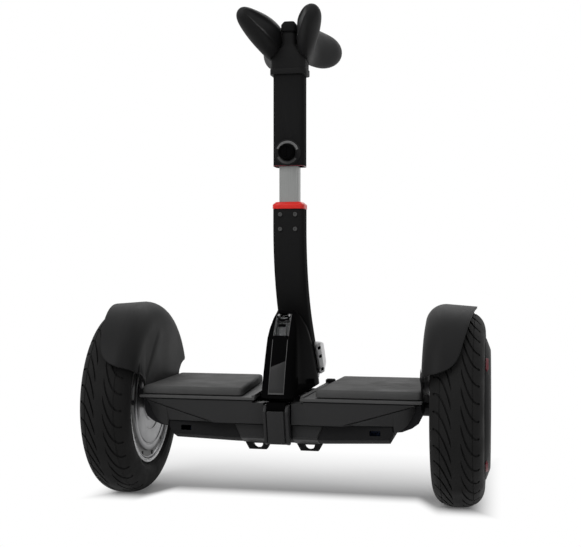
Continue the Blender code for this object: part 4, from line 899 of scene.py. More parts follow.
def build_accent_ring(word, side):
    ring = wheel_turned(side, [(radius, CAP_FACE - 0.0024 - CAP_SLOPE * (radius - CAP_FLAT) - below)
                               for radius, below in RING_SECTION])
    height = CAP_FACE - CAP_SLOPE * (TONGUE_REACH - CAP_FLAT)
    tongues = []
    for turn in SLOT_TURNS:
        tongue = rounded_block((-0.0034, -0.0090, -0.0070), (0.0005, 0.0090, 0.0044), 0.0004, 2)
        move_mesh(tongue, turned(side * CAP_SLOPE, "Y"), turned(0.0 if side > 0 else pi, "Z"),
                  Matrix.Translation((side * (WHEEL_X + height), 0.0, WHEEL_RADIUS + TONGUE_REACH)),
                  turned_about(AXLE_POINT, turn, "X"))
        tongues.append(tongue)
    settle(joined(*tongues, ring), f"{word}_accent_ring", WINE_RED, f"wheel_{word}", "red_trim",
           f"accent_ring_{word}")


for word, side in SIDES:
    build_hub_cap(word, side)
    build_accent_ring(word, side)
print("hub caps:", len(SIDES), "slots in each:", len(SLOT_TURNS))

# %% [markdown]
# ## Fenders
#
# A fender is one moulded sheet: a flat wall that stands beside the deck, a round shoulder, and a crown that
# follows the tyre and narrows to a point at both ends. One formula gives every point of the side that looks
# at the tyre: how far round the wheel, and how far across. A grid is laid through the points, its wall is
# added on the outer side, and the rim is rounded.

# %% Fenders
FENDER_WALL_X = 0.1885
FENDER_RADIUS = 0.1372
FENDER_FILLET = 0.0255
FENDER_REACH = 0.0665
FENDER_DROOP = 0.0036
FENDER_SINK = 0.0018
FENDER_ARC = radians(66.0)
FENDER_TIP = 0.94
FENDER_FOOT = [
    (0.0, 0.0, 0.1465), (0.48, 0.0635, 0.1465), (0.55, 0.0735, 0.1465), (0.65, 0.0735, 0.1560),
    (0.76, 0.0768, 0.1655), (0.87, 0.0865, 0.1740), (0.94, 0.0940, 0.1770), (0.985, 0.0985, 0.1780)]
RIDGE_RADIUS = 0.0985
RIDGE_STEPS = ((0.03, 0.25), (0.08, 0.8), (0.13, 1.0))
FENDER_WALL = 0.0025
FLANGES_Y = (-0.0731, 0.0706)
FLANGE_Z = (0.1470, 0.1560)


def along_table(table, value):
    """Straight interpolation in a table whose first column rises."""
    for first, second in zip(table, table[1:]):
        if value <= second[0]:
            share = (value - first[0]) / (second[0] - first[0])
            return [a + (b - a) * share for a, b in zip(first[1:], second[1:])]
    return list(table[-1][1:])


def fender_wall(share, sink, side):
    """The flat wall from its foot upwards, with a low ridge above which the face lies a little deeper."""
    size = abs(share)
    foot_y, foot_z = along_table(FENDER_FOOT, size)
    foot_y = foot_y if share > 0 else -foot_y
    rise_y = (FENDER_RADIUS - FENDER_FILLET) * sin(FENDER_ARC * share) - foot_y
    rise_z = WHEEL_RADIUS + (FENDER_RADIUS - FENDER_FILLET) * cos(FENDER_ARC * share) - foot_z
    foot_radius = sqrt(foot_y ** 2 + (foot_z - WHEEL_RADIUS) ** 2)
    ridge = (RIDGE_RADIUS - 0.0140 * size - foot_radius) / sqrt(rise_y ** 2 + rise_z ** 2)
    ridge = min(max(ridge, 0.02), 0.80)
    steps = [(0.0, 0.0), (0.4 * ridge, 0.0), (0.8 * ridge, 0.0), (ridge, 0.0)]
    steps += [(ridge + beyond, sunk) for beyond, sunk in RIDGE_STEPS]
    return [(side * (FENDER_WALL_X + sink * sunk), foot_y + rise_y * part, foot_z + rise_z * part)
            for part, sunk in steps]


def fender_row(share, side):
    """From the foot of the flat wall, over the shoulder and across the crown to the outer edge."""
    size = abs(share)
    angle = FENDER_ARC * share
    reach = FENDER_REACH * (1.0 - 0.36 * size ** 1.3) * (1.0 - size ** 16) ** 0.55
    fade = share_of(share, 0.15, -0.25)
    sink = FENDER_SINK * fade * fade * (3.0 - 2.0 * fade)
    row = fender_wall(share, sink, side)
    crossings = [FENDER_FILLET * (1.0 - cos(pi / 2 * step / 10)) for step in range(11)]
    crossings += [FENDER_FILLET + (FENDER_REACH - FENDER_FILLET) * step / 9 for step in range(1, 10)]
    for crossing in crossings:
        across = reach * crossing / FENDER_REACH
        short = max(FENDER_FILLET - across, 0.0)
        beyond = max(across - FENDER_FILLET, 0.0) / FENDER_REACH
        radius = FENDER_RADIUS - FENDER_FILLET + sqrt(FENDER_FILLET ** 2 - short ** 2)
        radius -= FENDER_DROOP * beyond / 0.7
        shift = sink * max(1.0 - across / FENDER_FILLET, 0.0) ** 2
        row.append((side * (FENDER_WALL_X + across + shift), radius * sin(angle),
                    WHEEL_RADIUS + radius * cos(angle)))
    return row


def build_fender(word, side):
    """The sheet, and two small flanges where it is screwed to the deck."""
    shares = [FENDER_TIP * step / 32 for step in range(-32, 33)]
    shares = [-0.985, -0.97, -0.955] + shares + [0.955, 0.97, 0.985]
    fender = grid_through([fender_row(share, side) for share in shares])
    thicken(fender, FENDER_WALL, (side, 0.0, 0.0), 0.0006)
    flanges = [rounded_block((side * (FENDER_WALL_X + 0.0005), y, FLANGE_Z[0]),
                             (side * (FENDER_WALL_X + 0.0080), y + FENDER_WALL, FLANGE_Z[1]), 0.0004, 2)
               for y in FLANGES_Y]
    settle(joined(*flanges, fender), f"{word}_fender", BLACK_PLASTIC, "base", "moulded_black",
           f"fender_{word}")


for word, side in SIDES:
    build_fender(word, side)
print("fenders:", len(SIDES))

# %% [markdown]
# ## Deck and mats
#
# The deck is a stamped frame with an opening for the steering, and its solid has the right outline already,
# so it gets rounded edges only. The mats, the rims along the opening and the two stops at its rear end are
# flat outlines, extruded upwards. The rims are a lighter grey than the deck: a painted highlight along the
# top edge of the opening's rail. Each mat is then rounded at its corners and along its top edge.

# %% Deck and mats
MAT_LOW, MAT_HIGH = 0.1510, 0.1610
MAT_CORNER, MAT_EDGE = 0.0058, 0.0045
RIM_LOW, RIM_HIGH = 0.1497, 0.1526
STOP_LOW, STOP_HIGH = 0.1500, 0.1571
MAT_OUTLINE = [(0.0490, -0.0850), (0.1872, -0.0850), (0.1872, 0.0880), (0.0597, 0.0880)]
RIM_OUTLINE = [(0.0309, -0.0845), (0.0333, -0.0845), (0.0407, 0.0845), (0.0383, 0.0845)]
STOP_OUTLINE = [(0.0365, 0.0730), (0.0500, 0.0730), (0.0500, 0.0850), (0.0365, 0.0850)]


def flat_plate(outline, side, low, high):
    """An outline of (x, y) points on one side of the scooter, extruded upwards."""
    return extruded([(side * x, y, low) for x, y in outline], (0.0, 0.0, high - low))


def build_mat(word, side):
    mat = flat_plate(MAT_OUTLINE, side, MAT_LOW, MAT_HIGH)
    with editing(mat):
        bpy.ops.mesh.select_mode(type="EDGE")
        choose(mat, "edges", lambda middle, _: abs(middle.z - (MAT_LOW + MAT_HIGH) / 2) < 0.001)
        bpy.ops.mesh.bevel(offset=MAT_CORNER, segments=5)
        choose(mat, "edges", lambda middle, _: middle.z > MAT_HIGH - 0.0001)
        bpy.ops.mesh.bevel(offset=MAT_EDGE, segments=5)
        bpy.ops.mesh.select_mode(type="VERT")
    settle(mat, f"{word}_foot_mat", MAT_RUBBER, "base", "mat_rubber", f"foot_mat_{word}", angle=30.0)


def build_deck_trim(word, side):
    # The rim's lighter grey is a painted highlight along the top edge of the opening's rail.
    rim = flat_plate(RIM_OUTLINE, side, RIM_LOW, RIM_HIGH)
    bevel_edges(rim, 0.0006, 2, 20.0)
    settle(rim, f"{word}_deck_rim_highlight", GREY_TRIM_AND_HIGHLIGHT, "base", "painted_black")
    stop = flat_plate(STOP_OUTLINE, side, STOP_LOW, STOP_HIGH)
    bevel_edges(stop, 0.0022, 4, 20.0)
    settle(stop, f"{word}_deck_stop", SOFT_BLACK, "base", "moulded_black")


settle(refined("deck_frame", 0.0006), "deck", DECK_PAINT, "base", "painted_black", "deck_frame")
for word, side in SIDES:
    build_mat(word, side)
    build_deck_trim(word, side)
print("deck, mats, rims and stops:", 1 + 3 * len(SIDES))

# %% [markdown]
# ## Front and rear covers
#
# The covers below the deck's edge have a soft crease that climbs towards the wheels: above it the face
# stands upright, and below it the lobe folds back under. A section of the cover changes from the middle to
# the end, so one function gives the section at any distance, and a closed tube of quads runs through the
# sections.

# %% Front and rear covers
FASCIA_TOP = 0.1455
FASCIA_FACE_Y = 0.0905
FASCIA_LIP_Y = FASCIA_FACE_Y - 0.0110
FASCIA_END = 0.1815
FASCIA_WALL = 0.0022
CENTRE_HALF = 0.0175
CREASE_START = 0.0850
CREASE_LOW_Z = 0.1155
CORNER_START = 0.1500
NOTCH_START = 0.1508
NOTCH_DROP = 0.0075
HUMP_ROOM = ((-0.0340, -0.1100, 0.1426), (0.0340, -0.0600, 0.1600))
BAR_ROOM = ((-0.0440, 0.0600, 0.1415), (0.0440, 0.1100, 0.1600))
LIGHT_ROOM = ((0.0880, 0.0700, 0.1330), (0.1420, 0.1100, 0.1400))
PORTS = ((-0.0400, 0.0103), (0.0400, 0.0083))
PORT_Z = 0.1285
FASCIA_STATIONS = [
    0.0188, 0.0260, 0.0340, 0.0420, 0.0500, 0.0600, 0.0700, 0.0800, 0.0850, 0.0950, 0.1050, 0.1150, 0.1250,
    0.1350, 0.1430, 0.1500, 0.1508, 0.1514, 0.1520, 0.1555, 0.1590, 0.1628, 0.1665, 0.1700, 0.1730, 0.1760,
    0.1785]


def fascia_section(x):
    """Lip, top edge, crease, bottom edge and inner side of the cover at a distance from the middle."""
    share = max(0.0, (x - CREASE_START) / (FASCIA_END - CREASE_START))
    crease_z = CREASE_LOW_Z + (FASCIA_TOP - 0.0020 - CREASE_LOW_Z) * share ** 1.05
    bulge = 0.0010 * min(1.0, (x - CENTRE_HALF) / 0.03)
    crease_y = FASCIA_FACE_Y + bulge - 0.0030 * share
    end_share = max(0.0, (x - CORNER_START) / (FASCIA_END - CORNER_START))
    low_z = CREASE_LOW_Z - NOTCH_DROP * min(1.0, max(0.0, (x - NOTCH_START) / 0.0012))
    low_edge = min(low_z + (crease_z - low_z) * end_share ** 2.4, crease_z - 0.0012)
    low_y = crease_y - 0.0045 - 0.0060 * share
    under_lip = FASCIA_TOP - 0.0034
    groove = max(min(1.0, 12.0 * share) * min(1.0, 12.0 * (1.0 - share)), 0.02)
    inner_z = min(crease_z + 0.0008, under_lip - 0.0009)
    inner_y = crease_y - FASCIA_WALL - 1.6 * (crease_z + 0.0008 - inner_z)
    return [
        (FASCIA_LIP_Y, FASCIA_TOP - 0.0012),
        (FASCIA_FACE_Y - 0.0012, FASCIA_TOP),
        (FASCIA_FACE_Y, FASCIA_TOP - 0.0012),
        (crease_y, crease_z + 0.0010 * groove),
        (crease_y - 0.0020 * groove, crease_z + 0.0002 * groove),
        (crease_y - 0.0003 * groove, crease_z - 0.0008 * groove),
        (low_y, low_edge),
        (low_y - 0.0013, low_edge + 0.0018),
        (inner_y, inner_z),
        (min(FASCIA_FACE_Y - FASCIA_WALL, inner_y + 0.0030), under_lip),
        (FASCIA_LIP_Y, under_lip),
    ]


def cover_tube(stations, front):
    """A closed tube through the sections, with its two ends filled."""
    rows = []
    for x in stations:
        section = [(x, front * y, z) for y, z in fascia_section(abs(x))]
        rows.append(section + section[:1])
    cover = grid_through(rows)
    close_seams(cover, fill=True)
    return cover


def build_front_cover(word, side):
    cover = cover_tube([side * x for x in FASCIA_STATIONS], -1)
    cut_with(cover, rounded_block(*HUMP_ROOM))
    bevel_edges(cover, 0.0003, 2, 40.0)
    settle(cover, f"{word}_front_cover", PANEL_PAINT, "base", "painted_black", f"front_fascia_{word}",
           angle=16.0)


def build_rear_cover():
    """One cover across the rear, with openings for the tail lights, the charging port and the button."""
    cover = cover_tube([-x for x in reversed(FASCIA_STATIONS)] + FASCIA_STATIONS, 1)
    cut_with(cover, rounded_block(*BAR_ROOM))
    for side in (-1, 1):
        cut_with(cover, rounded_block(*[(side * x, y, z) for x, y, z in LIGHT_ROOM], 0.0012, 2))
    for x, radius in PORTS:
        cut_with(cover, rod(radius, 0.05, (x, 0.0850, PORT_Z), "Y", 48))
    bevel_edges(cover, 0.0004, 2, 25.0)
    settle(cover, "back_cover", PANEL_PAINT, "base", "painted_black", "rear_cover", angle=16.0)


for word, side in SIDES:
    build_front_cover(word, side)
build_rear_cover()
print("covers:", len(SIDES) + 1)

# %% [markdown]
# ## Small fittings of the base
#
# Tail lights, the charging port with its rubber cap, the power button and the two loops below the tray keep
# their solids' shapes. Each is a rounded copy.

# %% Small fittings of the base
BASE_FITTINGS = [
    ("charge_port", "charging_port", 0.0004, BLACK_PLASTIC, "base", "moulded_black"),
    ("charge_cap", "charging_cap", 0.0005, SOFT_BLACK, "charge_cap", "soft_black"),
    ("power_button", "start_button", 0.0005, GLOSSY_BLACK, "power_button", "gloss_black"),
]
for word, side in SIDES:
    BASE_FITTINGS += [
        (f"tail_light_{word}", f"{word}_tail_light", 0.0005, RED_LENS, "base", "red_lens"),
        (f"skid_loop_{word}", f"{word}_skid_loop", 0.0008, BLACK_PLASTIC, "base", "moulded_black"),
    ]
for node, name, edge, material, body, slot in BASE_FITTINGS:
    settle(refined(node, edge), name, material, body, slot, node)
print("base fittings:", len(BASE_FITTINGS))

# %% [markdown]
# ## Middle panel and tray
#
# The panel in the middle of the front is three plates seen side by side, a face between two flanks, with a
# dark groove on each side of it. Each plate is an outline in the side view, extruded across. The tray under
# the chassis is a shell: its sections are laid along X, closed at both ends and thickened inwards. A raised
# brow stands on its front on each side of the panel.

# %% Middle panel and tray
TRAY_LOW = 0.0866
TRAY_TOP = 0.1147
TRAY_DEPTH = 0.0800
TRAY_END = 0.1500
TRAY_WALL = 0.0024
TRAY_SLOT = ((0.1200, -TRAY_DEPTH - 0.0100, 0.1022), (0.1340, -TRAY_DEPTH + 0.0100, 0.1088))
PANEL_BACK = -TRAY_DEPTH - 0.0004
PANEL_LOW = (PANEL_BACK, TRAY_LOW + 0.0015)
BASE_LINE = [PANEL_LOW, (-0.0850, TRAY_LOW + 0.0012), (-0.0900, 0.0905), (-0.1010, 0.1325),
             (PANEL_BACK, 0.1330)]
FLANK_LINE = [PANEL_LOW, (-0.0860, TRAY_LOW + 0.0008), (-0.0925, 0.0905), (-0.1035, 0.1330),
              (-0.0985, 0.1398), (-0.0960, 0.1410), (PANEL_BACK, 0.1410)]
FACE_LINE = [(-0.0880, 0.0895), (-0.0938, 0.0895), (-0.1052, 0.1335), (-0.0990, 0.1335)]
INSERT_LINE = [(-0.0800, 0.1330), (-0.1000, 0.1330), (-0.0990, 0.1400), (-0.0965, 0.1445), (-0.0800, 0.1445)]
BROW_LINE = [(-TRAY_DEPTH + 0.0180, TRAY_LOW - 0.0004), (-TRAY_DEPTH - 0.0004, TRAY_LOW + 0.0076),
             (-TRAY_DEPTH - 0.0034, 0.0985), (-TRAY_DEPTH - 0.0038, TRAY_TOP - 0.0014),
             (-TRAY_DEPTH + 0.0180, TRAY_TOP - 0.0014)]
TRAY_SECTIONS = [(TRAY_END, 0.0165, 0.0080), (0.1455, 0.0030, 0.0200), (0.0600, 0.0, 0.0200)]


def across_plate(outline, low_x, high_x, edge=0.0):
    """An outline of (y, z) points, extruded from one x to another."""
    return extruded([(low_x, y, z) for y, z in outline], (high_x - low_x, 0.0, 0.0), edge)


def build_middle_panel():
    base = across_plate(BASE_LINE, -0.0164, 0.0164)
    flanks = [across_plate(FLANK_LINE, low_x, low_x + 0.0044, 0.0011) for low_x in (-0.0168, 0.0124)]
    face = across_plate(FACE_LINE, -0.0110, 0.0110, 0.0007)
    settle(joined(*flanks, face, base), "middle_panel", PANEL_PAINT, "base", "painted_black", "centre_panel",
           angle=30.0)
    # A matt black plate without reflection fills the gap under the hump: painted shade.
    insert = across_plate(INSERT_LINE, -0.0127, 0.0127, 0.0008)
    settle(insert, "panel_shade_insert", MATTE_BLACK_AND_SHADE, "base", "gloss_black")


def tray_row(x, rise, bevel):
    """A section of the tray: how far its floor rises and how deep its lower corners are cut."""
    low = TRAY_LOW + rise
    near = TRAY_DEPTH - bevel
    shoulder = low + 0.0079 * bevel / 0.0200
    half = [(TRAY_DEPTH, TRAY_TOP), (TRAY_DEPTH, shoulder), (near, low)]
    return [(x, -y, z) for y, z in half] + [(x, y, z) for y, z in reversed(half)]


def build_under_tray():
    sections = [(-x, rise, bevel) for x, rise, bevel in TRAY_SECTIONS] + TRAY_SECTIONS[::-1]
    tray = grid_through([tray_row(*section) for section in sections])
    with editing(tray):
        bpy.ops.mesh.select_mode(type="EDGE")
        for end in (-TRAY_END, TRAY_END):
            choose(tray, "edges", lambda middle, _: abs(middle.x - end) < 0.0001)
            bpy.ops.mesh.edge_face_add()
        bpy.ops.mesh.select_mode(type="VERT")
        face_outwards()
    thicken(tray, TRAY_WALL, (0.0, 0.0, -1.0))
    for side in (-1, 1):
        cut_with(tray, rounded_block(*[(side * x, y, z) for x, y, z in TRAY_SLOT]))
    bevel_edges(tray, 0.0007, 2, 25.0)
    settle(tray, "under_tray", SOFT_BLACK, "base", "moulded_black", "lower_cover", angle=25.0)


def build_tray_brow(word, side):
    low, high = sorted((side * 0.0190, side * 0.0515))
    brow = across_plate(BROW_LINE, low, high)
    for vertex in brow.data.vertices:
        if abs(vertex.co.x) > 0.0500 and vertex.co.z > 0.1100:
            vertex.co.x += side * 0.0070
    bevel_edges(brow, 0.0006, 2, 20.0)
    settle(brow, f"{word}_tray_brow", PANEL_PAINT, "base", "moulded_black", angle=25.0)


build_middle_panel()
build_under_tray()
for word, side in SIDES:
    build_tray_brow(word, side)
print("middle panel, insert, tray and brows:", 3 + len(SIDES))

# %% [markdown]
# ## Lower bar
#
# The bar is one aluminium extrusion, bent once. It is made the same way: a flat rounded rectangle is
# extruded down the straight part, spun about the bend's centre, and extruded again along the leaning foot.

# %% Lower bar
BAR_Y = -0.0058
BAR_WIDTH = 0.0432
BAR_DEPTH = 0.0319
BAR_CORNER = 0.0070
BAR_TOP = 0.4000
BEND_TOP = 0.3765
BEND_RADIUS = 0.2318
BEND_STEPS = 28
FOOT_LEAN = radians(39.5)
FOOT_Z = 0.1720
FOOT_END = -0.0122
BEND_END_Y = BAR_Y + BEND_RADIUS * (1.0 - cos(FOOT_LEAN))
BEND_END_Z = BEND_TOP - BEND_RADIUS * sin(FOOT_LEAN)
FOOT_Y = BEND_END_Y + (BEND_END_Z - FOOT_Z) * sin(FOOT_LEAN) / cos(FOOT_LEAN)
TUBE_WIDTH = 0.0270
TUBE_DEPTH = 0.0220
TUBE_CORNER = 0.0040
BORE_PLAY = 0.0006


def on_foot(along, across):
    """A point (y, z) in the foot's leaning frame: along runs up the bar, across runs to the rear."""
    return (FOOT_Y - along * sin(FOOT_LEAN) + across * cos(FOOT_LEAN),
            FOOT_Z + along * cos(FOOT_LEAN) + across * sin(FOOT_LEAN))


def rounded_plate(width, depth, corner, z):
    """A flat rounded rectangle: a plane whose four corners are bevelled."""
    only()
    bpy.ops.mesh.primitive_plane_add(size=1.0, location=(0.0, BAR_Y, z))
    plate = bpy.context.object
    plate.scale = (width, depth, 1.0)
    apply_place(plate)
    with editing(plate):
        bpy.ops.mesh.bevel(offset=corner, segments=5, affect="VERTICES")
    return plate


def straight_post(width, depth, corner, low, high):
    post = rounded_plate(width, depth, corner, low)
    with editing(post):
        extrude_by(0.0, 0.0, high - low)
        face_outwards()
    return post


def tube_bore(low, high):
    """A cutter for the hole in which the sliding tube runs."""
    return straight_post(TUBE_WIDTH + BORE_PLAY, TUBE_DEPTH + BORE_PLAY, TUBE_CORNER, low, high)


def bent_bar(width, depth, end):
    bar = rounded_plate(width, depth, BAR_CORNER, BAR_TOP)
    end_y, end_z = on_foot(end, 0.0)
    with editing(bar):
        extrude_by(0.0, 0.0, BEND_TOP - BAR_TOP)
        bpy.ops.mesh.spin(steps=BEND_STEPS, angle=-FOOT_LEAN, center=(0.0, BAR_Y + BEND_RADIUS, BEND_TOP),
                          axis=(1.0, 0.0, 0.0))
        extrude_by(0.0, end_y - BEND_END_Y, end_z - BEND_END_Z)
        face_outwards()
    return bar


def build_lower_bar():
    bar = bent_bar(BAR_WIDTH, BAR_DEPTH, FOOT_END)
    cut_with(bar, tube_bore(0.3450, 0.4200))
    bevel_edges(bar, 0.0003, 2, 50.0)
    settle(bar, "bent_bar", BLACK_PAINT, "bar", "painted_black", "lower_bar")
    print("bent bar faces:", len(bar.data.polygons))


build_lower_bar()

# %% [markdown]
# ## Collar, screws and sliding tube
#
# The red collar closes the bar's top and guides the bare tube that slides in it. Four small screws hold a
# clamp plate behind the bar's front face. The collar's section changes with height, so its surface is laid
# as a grid through rounded rectangles.


# %% Collar, screws and sliding tube
def post_piece(sections, segments=5):
    """An upright closed body through rounded rectangles (width, depth, corner, z), lowest first."""
    rows = []
    for width, depth, corner, z in sections:
        ring = []
        for quarter, (sign_x, sign_y) in enumerate(((1, 1), (-1, 1), (-1, -1), (1, -1))):
            for step in range(segments + 1):
                angle = (quarter + step / segments) * pi / 2
                ring.append((sign_x * (width / 2 - corner) + corner * cos(angle),
                             BAR_Y + sign_y * (depth / 2 - corner) + corner * sin(angle), z))
        rows.append(ring + ring[:1])
    post = grid_through(rows)
    close_seams(post, fill=True)
    return post


def build_collar():
    width = BAR_WIDTH + 0.0014
    depth = BAR_DEPTH + 0.0024
    corner = BAR_CORNER + 0.0007
    collar = post_piece([(width, depth, corner, 0.4003), (width, depth, corner, 0.4056),
                         (width - 0.0012, depth - 0.0012, corner - 0.0006, 0.4066),
                         (width - 0.0090, depth - 0.0080, corner - 0.0030, 0.4098)])
    cut_with(collar, tube_bore(0.3900, 0.4200))
    bevel_edges(collar, 0.0004, 3, 30.0)
    settle(collar, "red_collar", RED_PLASTIC, "bar", "red_trim", "collar")


def build_inner_tube():
    """A hollow tube, from inside the bar to the top of its reach in the upper tube."""
    tube = straight_post(TUBE_WIDTH, TUBE_DEPTH, TUBE_CORNER, 0.3500, 0.5280)
    cut_with(tube, straight_post(TUBE_WIDTH - 0.0040, TUBE_DEPTH - 0.0040, 0.0025, 0.3400, 0.5400))
    settle(tube, "sliding_tube", DRAWN_ALUMINIUM, "bar", "aluminium", "inner_tube")


build_collar()
build_inner_tube()
settle(refined("bar_screws", 0.0002, 2), "clamp_screws", GREY_TRIM_AND_HIGHLIGHT, "bar", "steel", "bar_screws")
print("collar, tube and screws:", 3)

# %% [markdown]
# ## Bar socket and release lever
#
# The polished socket holds the bar's foot between two ears. Its ears are chamfered in front and cut away
# below, so that they clear the hump, and three dark screws sit on each chamfer. The socket leans, so every
# cutter and screw is made upright at the origin, turned about Z to face outwards, leaned back and then
# carried to its place.

# %% Bar socket and release lever
EAR_EDGE = 0.0310
EAR_FRONT = -0.0060
SCREW_HEIGHTS = (0.0010, 0.0270, 0.0440)
SCREW_BLOCK = ((-0.0010, -0.0024, -0.0024), (0.0014, 0.0024, 0.0024))
CHAMFER_BLOCK = ((-0.0100, -0.0100, -0.0300), (0.0100, 0.0100, 0.0800))
HEEL_BLOCK = ((0.0224, -0.0200, -0.0300), (0.0400, 0.0500, -0.0068))


def onto_ear(piece, side, shift):
    corner_y, corner_z = on_foot(0.0, EAR_FRONT)
    move_mesh(piece, Matrix.Translation(shift), turned(-pi / 4 if side > 0 else -3 * pi / 4, "Z"),
              turned(FOOT_LEAN, "X"), Matrix.Translation((side * EAR_EDGE, corner_y, corner_z)))


socket = refined("bar_socket", 0.0006)
for word, side in SIDES:
    chamfer = rounded_block(*CHAMFER_BLOCK)
    onto_ear(chamfer, side, (0.0070, 0.0, 0.0))
    heel = rounded_block(*[(side * x, y, z) for x, y, z in HEEL_BLOCK])
    move_mesh(heel, turned(FOOT_LEAN, "X"), Matrix.Translation((0.0, FOOT_Y, FOOT_Z)))
    cut_with(socket, chamfer, heel)
    for number, along in enumerate(SCREW_HEIGHTS):
        screw = rounded_block(*SCREW_BLOCK, 0.0011, 2)
        onto_ear(screw, side, (-0.0030, 0.0, along))
        settle(screw, f"{word}_socket_screw_{number}", MATTE_BLACK_AND_SHADE, "steering", "steel")
settle(socket, "foot_socket", POLISHED_ALUMINIUM_AND_REFLECTION, "steering", "aluminium", "bar_socket")
settle(refined("lock_lever", 0.0005), "release_lever", BLACK_PAINT, "lock_lever", "gloss_black", "lock_lever")
print("socket screws:", len(SIDES) * len(SCREW_HEIGHTS))

# %% [markdown]
# ## Hump
#
# The glossy hump covers the steering and carries the headlight. It is lofted: at each height its outline is
# a narrow nose, full sides and a tail, and the tables say how the nose, the tail and the width change with
# height. Smooth interpolation between the tables' rows gives a soft surface from few numbers.

# %% Hump: its lines
HUMP_BOTTOM = 0.1500
HUMP_NOSE = [(-0.1000, 0.1500), (-0.0885, 0.1830), (-0.0700, 0.2260), (-0.0460, 0.2545), (-0.0360, 0.2635)]
HUMP_TAIL = [(0.0980, 0.1500), (0.0900, 0.1650), (0.0760, 0.1820), (0.0600, 0.1990), (0.0450, 0.2130),
             (0.0300, 0.2260), (0.0140, 0.2380), (-0.0080, 0.2515), (-0.0300, 0.2625)]
HUMP_WIDTHS = [(0.0268, 0.1500), (0.0262, 0.1650), (0.0255, 0.1820), (0.0248, 0.1990), (0.0240, 0.2130),
               (0.0230, 0.2260), (0.0215, 0.2380), (0.0175, 0.2515), (0.0125, 0.2610)]
HUMP_LEVELS = [0.1500, 0.1575, 0.1650, 0.1735, 0.1820, 0.1905, 0.1990, 0.2060, 0.2130, 0.2195, 0.2260, 0.2320,
               0.2380, 0.2425, 0.2470, 0.2515, 0.2535, 0.2545, 0.2575, 0.2610]
HUMP_SHARES = [0.0, 0.004, 0.012, 0.025, 0.05, 0.08, 0.12, 0.18, 0.25, 0.33, 0.42, 0.51, 0.60, 0.68, 0.75,
               0.82, 0.88, 0.93, 0.97, 1.0]
HUMP_WALL = 0.0020
HOLLOW_LEVELS = [z for z in HUMP_LEVELS if z <= 0.2515]


def at_height(line, z):
    """The first value of a line of (value, z) points at a height z."""
    for (low_value, low), (high_value, high) in zip(line, line[1:]):
        if z <= high:
            return low_value + (high_value - low_value) * (z - low) / (high - low)
    return line[-1][0]


def soft_curve(line, value):
    """A smooth curve through (position, result) points."""
    last = len(line) - 1
    number = next((spot for spot in range(last) if value <= line[spot + 1][0]), last - 1)
    before, first = line[max(number - 1, 0)], line[number]
    second, after = line[number + 1], line[min(number + 2, last)]
    span = second[0] - first[0]
    share = (value - first[0]) / span
    start_slope = (second[1] - before[1]) / (second[0] - before[0])
    end_slope = (after[1] - first[1]) / (after[0] - first[0])
    return ((2 * share ** 3 - 3 * share ** 2 + 1) * first[1] + (share ** 3 - 2 * share ** 2 + share) * span *
            start_slope + (3 * share ** 2 - 2 * share ** 3) * second[1] + (share ** 3 - share ** 2) * span *
            end_slope)


# %% Hump: its surface
def hump_ring(z, inset, level, width=None):
    """The hump's outline at a height, drawn in by the inset and laid at a level."""
    width = width or at_height(HUMP_WIDTHS, z)
    nose = at_height(HUMP_NOSE, z) + inset * 1.15
    tail = at_height(HUMP_TAIL, z) - inset
    shoulder = min(0.0215 - 0.03 * (z - HUMP_BOTTOM), 0.80 * width)
    half_widths = [(0.0, min(0.0118, 0.8 * shoulder)), (0.05, shoulder), (0.25, 0.88 * width),
                   (0.60, 0.97 * width), (0.88, width), (1.0, 0.86 * width)]
    right = [(soft_curve(half_widths, share) - inset, nose + share * (tail - nose), level)
             for share in HUMP_SHARES]
    ring = right + [(-x, y, level) for x, y, level in reversed(right)]
    return ring + ring[:1]


def closed_hump(rings):
    body = grid_through(rings)
    close_seams(body, fill=True)
    return body

# %% [markdown]
# The shell is the full body less a smaller one inside it. The window for the headlight strip and the room
# for the bar, at rest and while it is drawn up along its foot, are cut out of it in the same way.

# %% Hump: the shell and its openings
STRIP_HALF = 0.0108
LEAN_PLAY = 0.0010
RELEASE_PLAY = 0.0014


def build_hump():
    hump = closed_hump([hump_ring(z, 0.0, z) for z in HUMP_LEVELS])
    hollow_rings = [hump_ring(HUMP_BOTTOM, HUMP_WALL, 0.1400)]
    hollow_rings += [hump_ring(z, HUMP_WALL, z) for z in HOLLOW_LEVELS]
    hollow_rings.append(hump_ring(0.2580, HUMP_WALL, 0.2588, HUMP_WIDTHS[-1][0]))
    window = rounded_block((-STRIP_HALF, -0.1300, 0.1540), (STRIP_HALF, -0.0250, 0.2580))
    bar_room = bent_bar(BAR_WIDTH + LEAN_PLAY, BAR_DEPTH + LEAN_PLAY + 0.0002, -0.0300)
    release_room = straight_post(BAR_WIDTH + RELEASE_PLAY, BAR_DEPTH + RELEASE_PLAY + 0.0002, BAR_CORNER,
                                 -0.0320, 0.1000)
    move_mesh(release_room, Matrix.Translation((0.0, FOOT_Y, FOOT_Z)) @ turned(FOOT_LEAN, "X") @
              Matrix.Translation((0.0, -BAR_Y, 0.0)))
    foot_room = rounded_block((-0.0224, 0.0850, 0.1400), (0.0224, 0.1200, 0.1750))
    cut_with(hump, closed_hump(hollow_rings), window, bar_room, release_room, foot_room)
    settle(hump, "steering_hump", GLOSSY_BLACK, "steering", "gloss_black", "hump_shell", angle=32.0)
    print("hump faces:", len(hump.data.polygons))


build_hump()

# %% [markdown]
# ## Headlight strip
#
# A narrow strip runs up the hump's nose: a panel below and the headlight's clear cover above it, with a
# small lamp behind. Each is a thin sheet that follows the nose. A matt inlay, two rails, a sill and the
# lamp's own small pieces are thinner plates that stand a little proud of the strip.

# %% Headlight strip: panel and lamp cover
STRIP_EDGE = STRIP_HALF - 0.0003
RAIL = 0.0009
NOSE_OUTWARD = (0.0, -1.0, 0.2)


